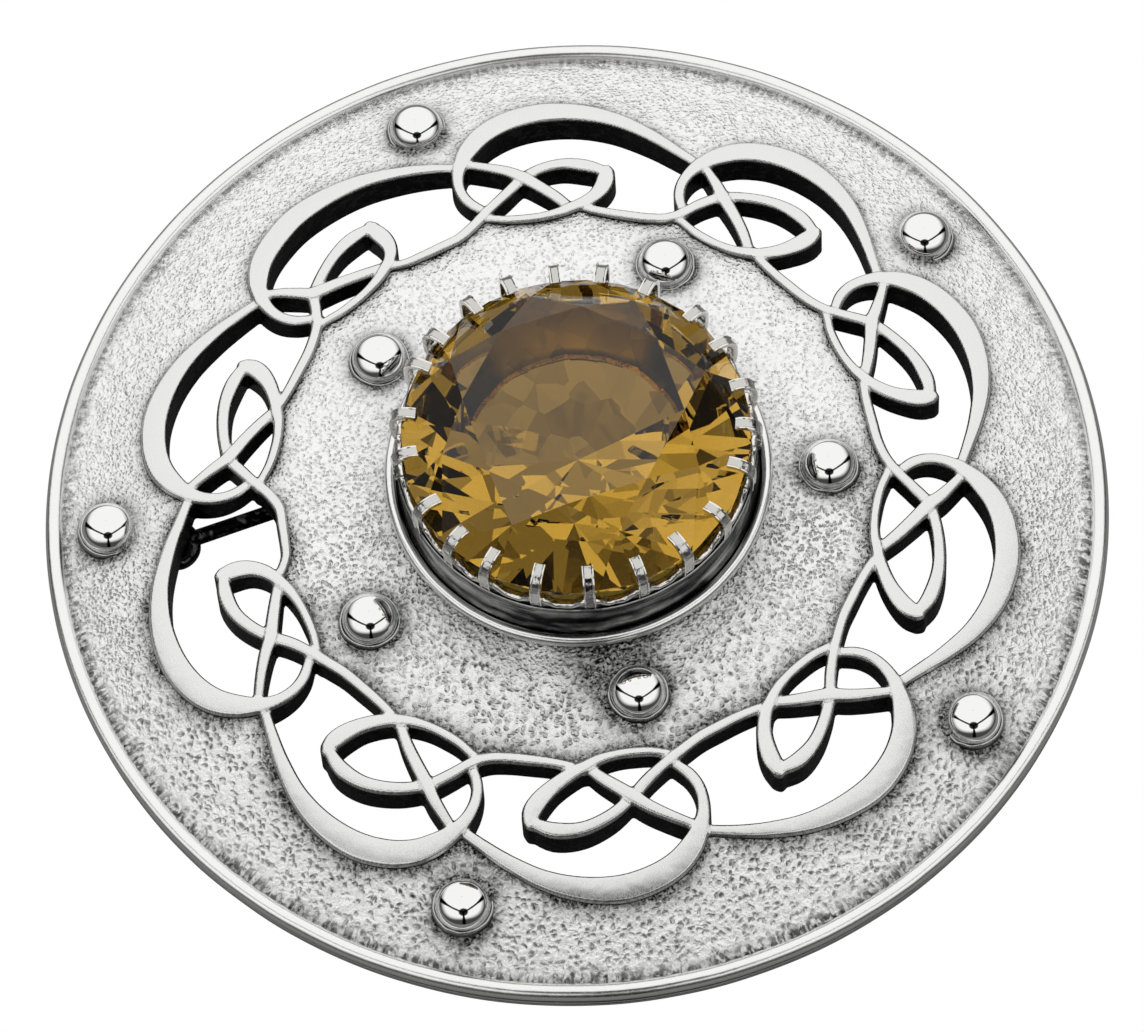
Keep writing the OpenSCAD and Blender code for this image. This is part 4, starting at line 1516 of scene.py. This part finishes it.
@dataclass
class Pin(SubAssembly):
    """The pin behind the plaque: round hinge plate, stem, and the catch on its foot."""

    hinge_at: tuple[float, float] = (-32.2, -0.1)
    stem_z: float = 1.15
    stem_r: float = 0.65
    stem_sides: int = 20
    catch_along: float = 48.5
    catch_top_z: float = 5.26
    hook_r: float = 0.95
    hook_w: float = 1.7
    hook_t: float = 0.34
    turn: float = 16.0
    node: str = "brooch_pin"
    slot: str = "pin_silver"
    # Radius and height of the hinge plate, and of the catch's foot below its top
    hinge: tuple = ((0.0, 0.45), (1.8, 0.45), (2.02, 0.6), (2.05, 1.3), (1.9, 1.52), (1.4, 1.6),
                    (0.0, 1.6))
    foot: tuple = ((0.0, -0.7), (1.75, -0.7), (1.9, -0.55), (1.9, -0.12), (1.78, 0.0),
                   (0.0, 0.0))
    # Distance along the stem and share of its radius there
    taper: tuple = ((0.0, 1.0), (2.0, 1.0), (4.5, 0.98), (20.0, 0.95), (40.0, 0.9),
                    (46.0, 0.75), (49.4, 0.4), (50.45, 0.08))

    def place(self, points: np.ndarray) -> np.ndarray:
        """Turns points from the pin's own line to the part's frame.

        Args:
            points: Distance along the pin, distance aside and height.

        Returns:
            The same points in the part's frame.
        """
        angle = math.radians(self.turn)
        spin = np.array([(math.cos(angle), math.sin(angle)), (-math.sin(angle), math.cos(angle))])
        placed = points.copy()
        placed[:, :2] = points[:, :2] @ spin + self.hinge_at
        return placed

    def stem(self) -> None:
        """Builds the stem, a round wire that tapers to its point."""
        count = self.stem_sides
        angles = 2 * math.pi * np.arange(count) / count
        points = [(along, self.stem_r * share * math.cos(a),
                   self.stem_z + self.stem_r * share * math.sin(a))
                  for along, share in self.taper for a in angles]
        faces = grid_faces(len(self.taper), count, round_columns=True)
        last = len(points) - count
        faces += [tuple(range(count)), tuple(last + k for k in reversed(range(count)))]
        self.piece("stem", self.place(np.array(points)), faces, Finish.PIN)

    def catch(self) -> None:
        """Builds the catch: a round foot and a strip that hooks under the stem."""
        points, faces = lathe(np.array(self.foot), 48, False)
        points += (self.catch_along, 0, self.catch_top_z)
        self.piece("catch_foot", self.place(points), flipped(faces), Finish.PIN)
        hook = np.concatenate([arc((0.0, self.stem_z), self.hook_r, -150, 35, 12),
                               [(1.05, 2.4), (1.15, self.catch_top_z - 0.6)]])
        run = np.gradient(hook, axis=0)
        run /= np.linalg.norm(run, axis=1)[:, None]
        side = np.stack([run[:, 1], -run[:, 0]], axis=1) * self.hook_t / 2
        half = self.hook_w / 2
        points = [(self.catch_along + x, y + dy * out, z + dz * out)
                  for (y, z), (dy, dz) in zip(hook, side)
                  for x, out in ((-half, -1), (half, -1), (half, 1), (-half, 1))]
        faces = grid_faces(len(hook), 4, round_columns=True, by_row=True)
        faces += [(3, 2, 1, 0), tuple(4 * len(hook) - 4 + k for k in range(4))]
        crisp(self.piece("catch_hook", self.place(np.array(points)), faces, Finish.PIN), 40)

    def build(self) -> None:
        """Builds the pieces of the pin."""
        points, faces = lathe(np.array(self.hinge), 64, False, self.hinge_at, sway=0.03,
                              sway_mm=1.2)
        self.piece("hinge_plate", points, flipped(faces), Finish.PIN)
        self.stem()
        self.catch()


@dataclass
class Studio:
    """Pale board, light tent and the camera at the photograph's angle.

    The shift and the distance are in units of scale_mm, the brooch's own radius.
    """

    shop: Workshop
    focal_px: float = 7285.7
    image_px: tuple[int, int] = (1144, 1032)
    elevation: float = 63.793
    roll: float = -4.481
    distance: float = 13.703
    shift: tuple[float, float] = (0.008, 0.014)
    scale_mm: float = 42.5
    aim_z: float = 1.83
    board_reach_m: float = 2.5
    board_gap_m: float = 0.00002
    high_glow: float = 1.0
    low_glow: float = 0.06
    panel_glow: tuple[float, float] = (0.42, 1.4)
    panel_scale: float = 3.0
    panel_shift: tuple[float, float, float] = (2.6, 0.7, 0.0)
    far_lean: float = 0.5
    opening: float = 14.5
    seam_sine: float = 0.055
    seam_turns: tuple[float, ...] = (0.0, 120.0, -120.0)

    def camera(self) -> None:
        """Puts the camera where the photograph was taken from."""
        tilt, roll = math.radians(self.elevation), math.radians(self.roll)
        ahead = Vector((0, math.cos(tilt), -math.sin(tilt)))
        right = Vector((1, 0, 0))
        up = right.cross(ahead)
        across = right * math.cos(roll) + up * math.sin(roll)
        upright = up * math.cos(roll) - right * math.sin(roll)
        place = -(across * self.shift[0] + upright * self.shift[1] + ahead * self.distance)
        place = place * self.scale_mm * MM + Vector((0, 0, self.aim_z * MM))
        data = bpy.data.cameras.new("photo_camera")
        data.sensor_fit = "HORIZONTAL"
        data.sensor_width = 36.0
        data.lens = self.focal_px / self.image_px[0] * data.sensor_width
        data.clip_start = 0.01
        camera = bpy.data.objects.new("photo_camera", data)
        turn = Matrix((across, upright, -ahead)).transposed()
        camera.matrix_world = Matrix.Translation(place) @ turn.to_4x4()
        bpy.context.scene.collection.objects.link(camera)
        bpy.context.scene.camera = camera

    def board(self) -> None:
        """Lays the pale board that the brooch rests on."""
        mesh = bpy.data.meshes.new("pale_board")
        reach = self.board_reach_m
        mesh.from_pydata([(-reach, -reach, 0), (reach, -reach, 0), (reach, reach, 0),
                          (-reach, reach, 0)], [], [(0, 1, 2, 3)])
        mesh.materials.append(self.shop.material(Finish.BOARD))
        board = bpy.data.objects.new("pale_board", mesh)
        board.location = (0, 0, -self.board_gap_m)
        bpy.context.scene.collection.objects.link(board)

    def lens_way(self) -> Vector:
        """Direction from the brooch to the lens."""
        tilt = math.radians(self.elevation)
        return Vector((0, -math.cos(tilt), math.sin(tilt)))

    def seam(self, tree: bpy.types.NodeTree, way: bpy.types.NodeSocket, foot: Vector
             ) -> bpy.types.Node:
        """Lightness of the tent at the seam from the lens down to a point of its foot.

        Args:
            tree: Node tree of the tent.
            way: Direction that is looked in.
            foot: Direction of the seam's lower end.

        Returns:
            0 on the seam and 1 off it.
        """
        lens = self.lens_way()
        aside, along, low = (
            add(tree, "VectorMath", DOT | {0: way, 1: axis}).outputs["Value"]
            for axis in (lens.cross(foot).normalized(), (lens + foot).normalized(), foot))
        width = add(tree, "MapRange", EASED | {
            "Value": low, "From Min": 0.6, "To Min": self.seam_sine,
            "To Max": 2 * self.seam_sine})
        off = add(tree, "Math", {
            "operation": "DIVIDE", 0: add(tree, "Math", {"operation": "ABSOLUTE", 0: aside}),
            1: width})
        limit = math.cos(lens.angle(foot) / 2)
        dark = add(tree, "MapRange", EASED | {
            "Value": off, "From Min": 0.6, "From Max": 1.3, "To Min": 1.0, "To Max": 0.0})
        within = add(tree, "MapRange", EASED | {
            "Value": along, "From Min": limit - 0.03, "From Max": limit})
        return add(tree, "Math", {"operation": "SUBTRACT", 0: 1.0,
                                  1: add(tree, "Math", TIMES | {0: dark, 1: within})})

    def lights(self) -> None:
        """Sets the tent: three panels of lit cloth whose seams meet at the lens's opening.

        The cloth is brightest overhead and on the far side, dark near the table, and dark
        behind the lens. The stone gathers its light from panels of uneven brightness.
        """
        world = bpy.data.worlds.new("light_tent")
        bpy.context.scene.world = world
        world.use_nodes = True
        tree = world.node_tree
        tree.nodes.clear()
        way = add(tree, "TexCoord").outputs["Generated"]
        _, y, z = add(tree, "SeparateXYZ", {0: way}).outputs
        far = add(tree, "Math", {"operation": "POWER", 0: y, 1: 3.0})
        lean = add(tree, "Math", TIMES | {0: far, 1: self.far_lean})
        glow = add(tree, "MapRange", EASED | {
            "Value": add(tree, "Math", PLUS | {0: z, 1: lean}), "From Min": 0.08,
            "From Max": 0.55, "To Min": self.low_glow, "To Max": self.high_glow})
        for turn in self.seam_turns:
            azimuth = math.radians(turn)
            foot = Vector((math.sin(azimuth), -math.cos(azimuth), 0))
            glow = add(tree, "Math", TIMES | {0: glow, 1: self.seam(tree, way, foot)})
        to_lens = add(tree, "VectorMath", DOT | {0: way, 1: self.lens_way()}).outputs["Value"]
        opening = add(tree, "MapRange", EASED | {
            "Value": to_lens, "From Min": math.cos(math.radians(self.opening + 2)),
            "From Max": math.cos(math.radians(self.opening - 2)), "To Min": 1.0,
            "To Max": 0.02})
        glow = add(tree, "Math", TIMES | {0: glow, 1: opening})
        panels = add(tree, "TexVoronoi", {
            "Scale": self.panel_scale,
            "Vector": add(tree, "VectorMath", PLUS | {0: way, 1: self.panel_shift})})
        chance = add(tree, "SeparateColor", {0: panels.outputs["Color"]})
        uneven = add(tree, "MapRange", EASED | {
            "Value": chance, "From Min": 0.15, "From Max": 0.85,
            "To Min": self.panel_glow[0], "To Max": self.panel_glow[1]})
        above = add(tree, "MapRange", EASED | {
            "Value": z, "From Min": 0.1, "From Max": 0.3, "To Min": 0.05})
        panel = add(tree, "Math", TIMES | {
            0: uneven, 1: add(tree, "Math", TIMES | {0: opening, 1: above})})
        inside = add(tree, "LightPath").outputs["Is Transmission Ray"]
        glow = add(tree, "Mix", NUMBERS | {0: inside, 2: glow, 3: panel})
        tent = add(tree, "Background", {"Color": "#ffffff", "Strength": glow})
        add(tree, "OutputWorld", {"Surface": tent})
        bpy.context.scene.view_settings.view_transform = "Standard"


def main() -> None:
    """Builds the brooch and its studio, piece by piece."""
    logging.basicConfig(level=logging.INFO, format="%(message)s")
    noise.seed_set(NOISE_START)
    shop = Workshop({})
    studio = Studio(shop)
    studio.camera()
    studio.lights()
    studio.board()
    dome = Dome()
    Plaque(shop, dome, KnotRelief(Knot(), dome)).build()
    Setting(shop).build()
    Citrine(shop).build()
    Pin(shop).build()


if __name__ == "__main__":
    main()
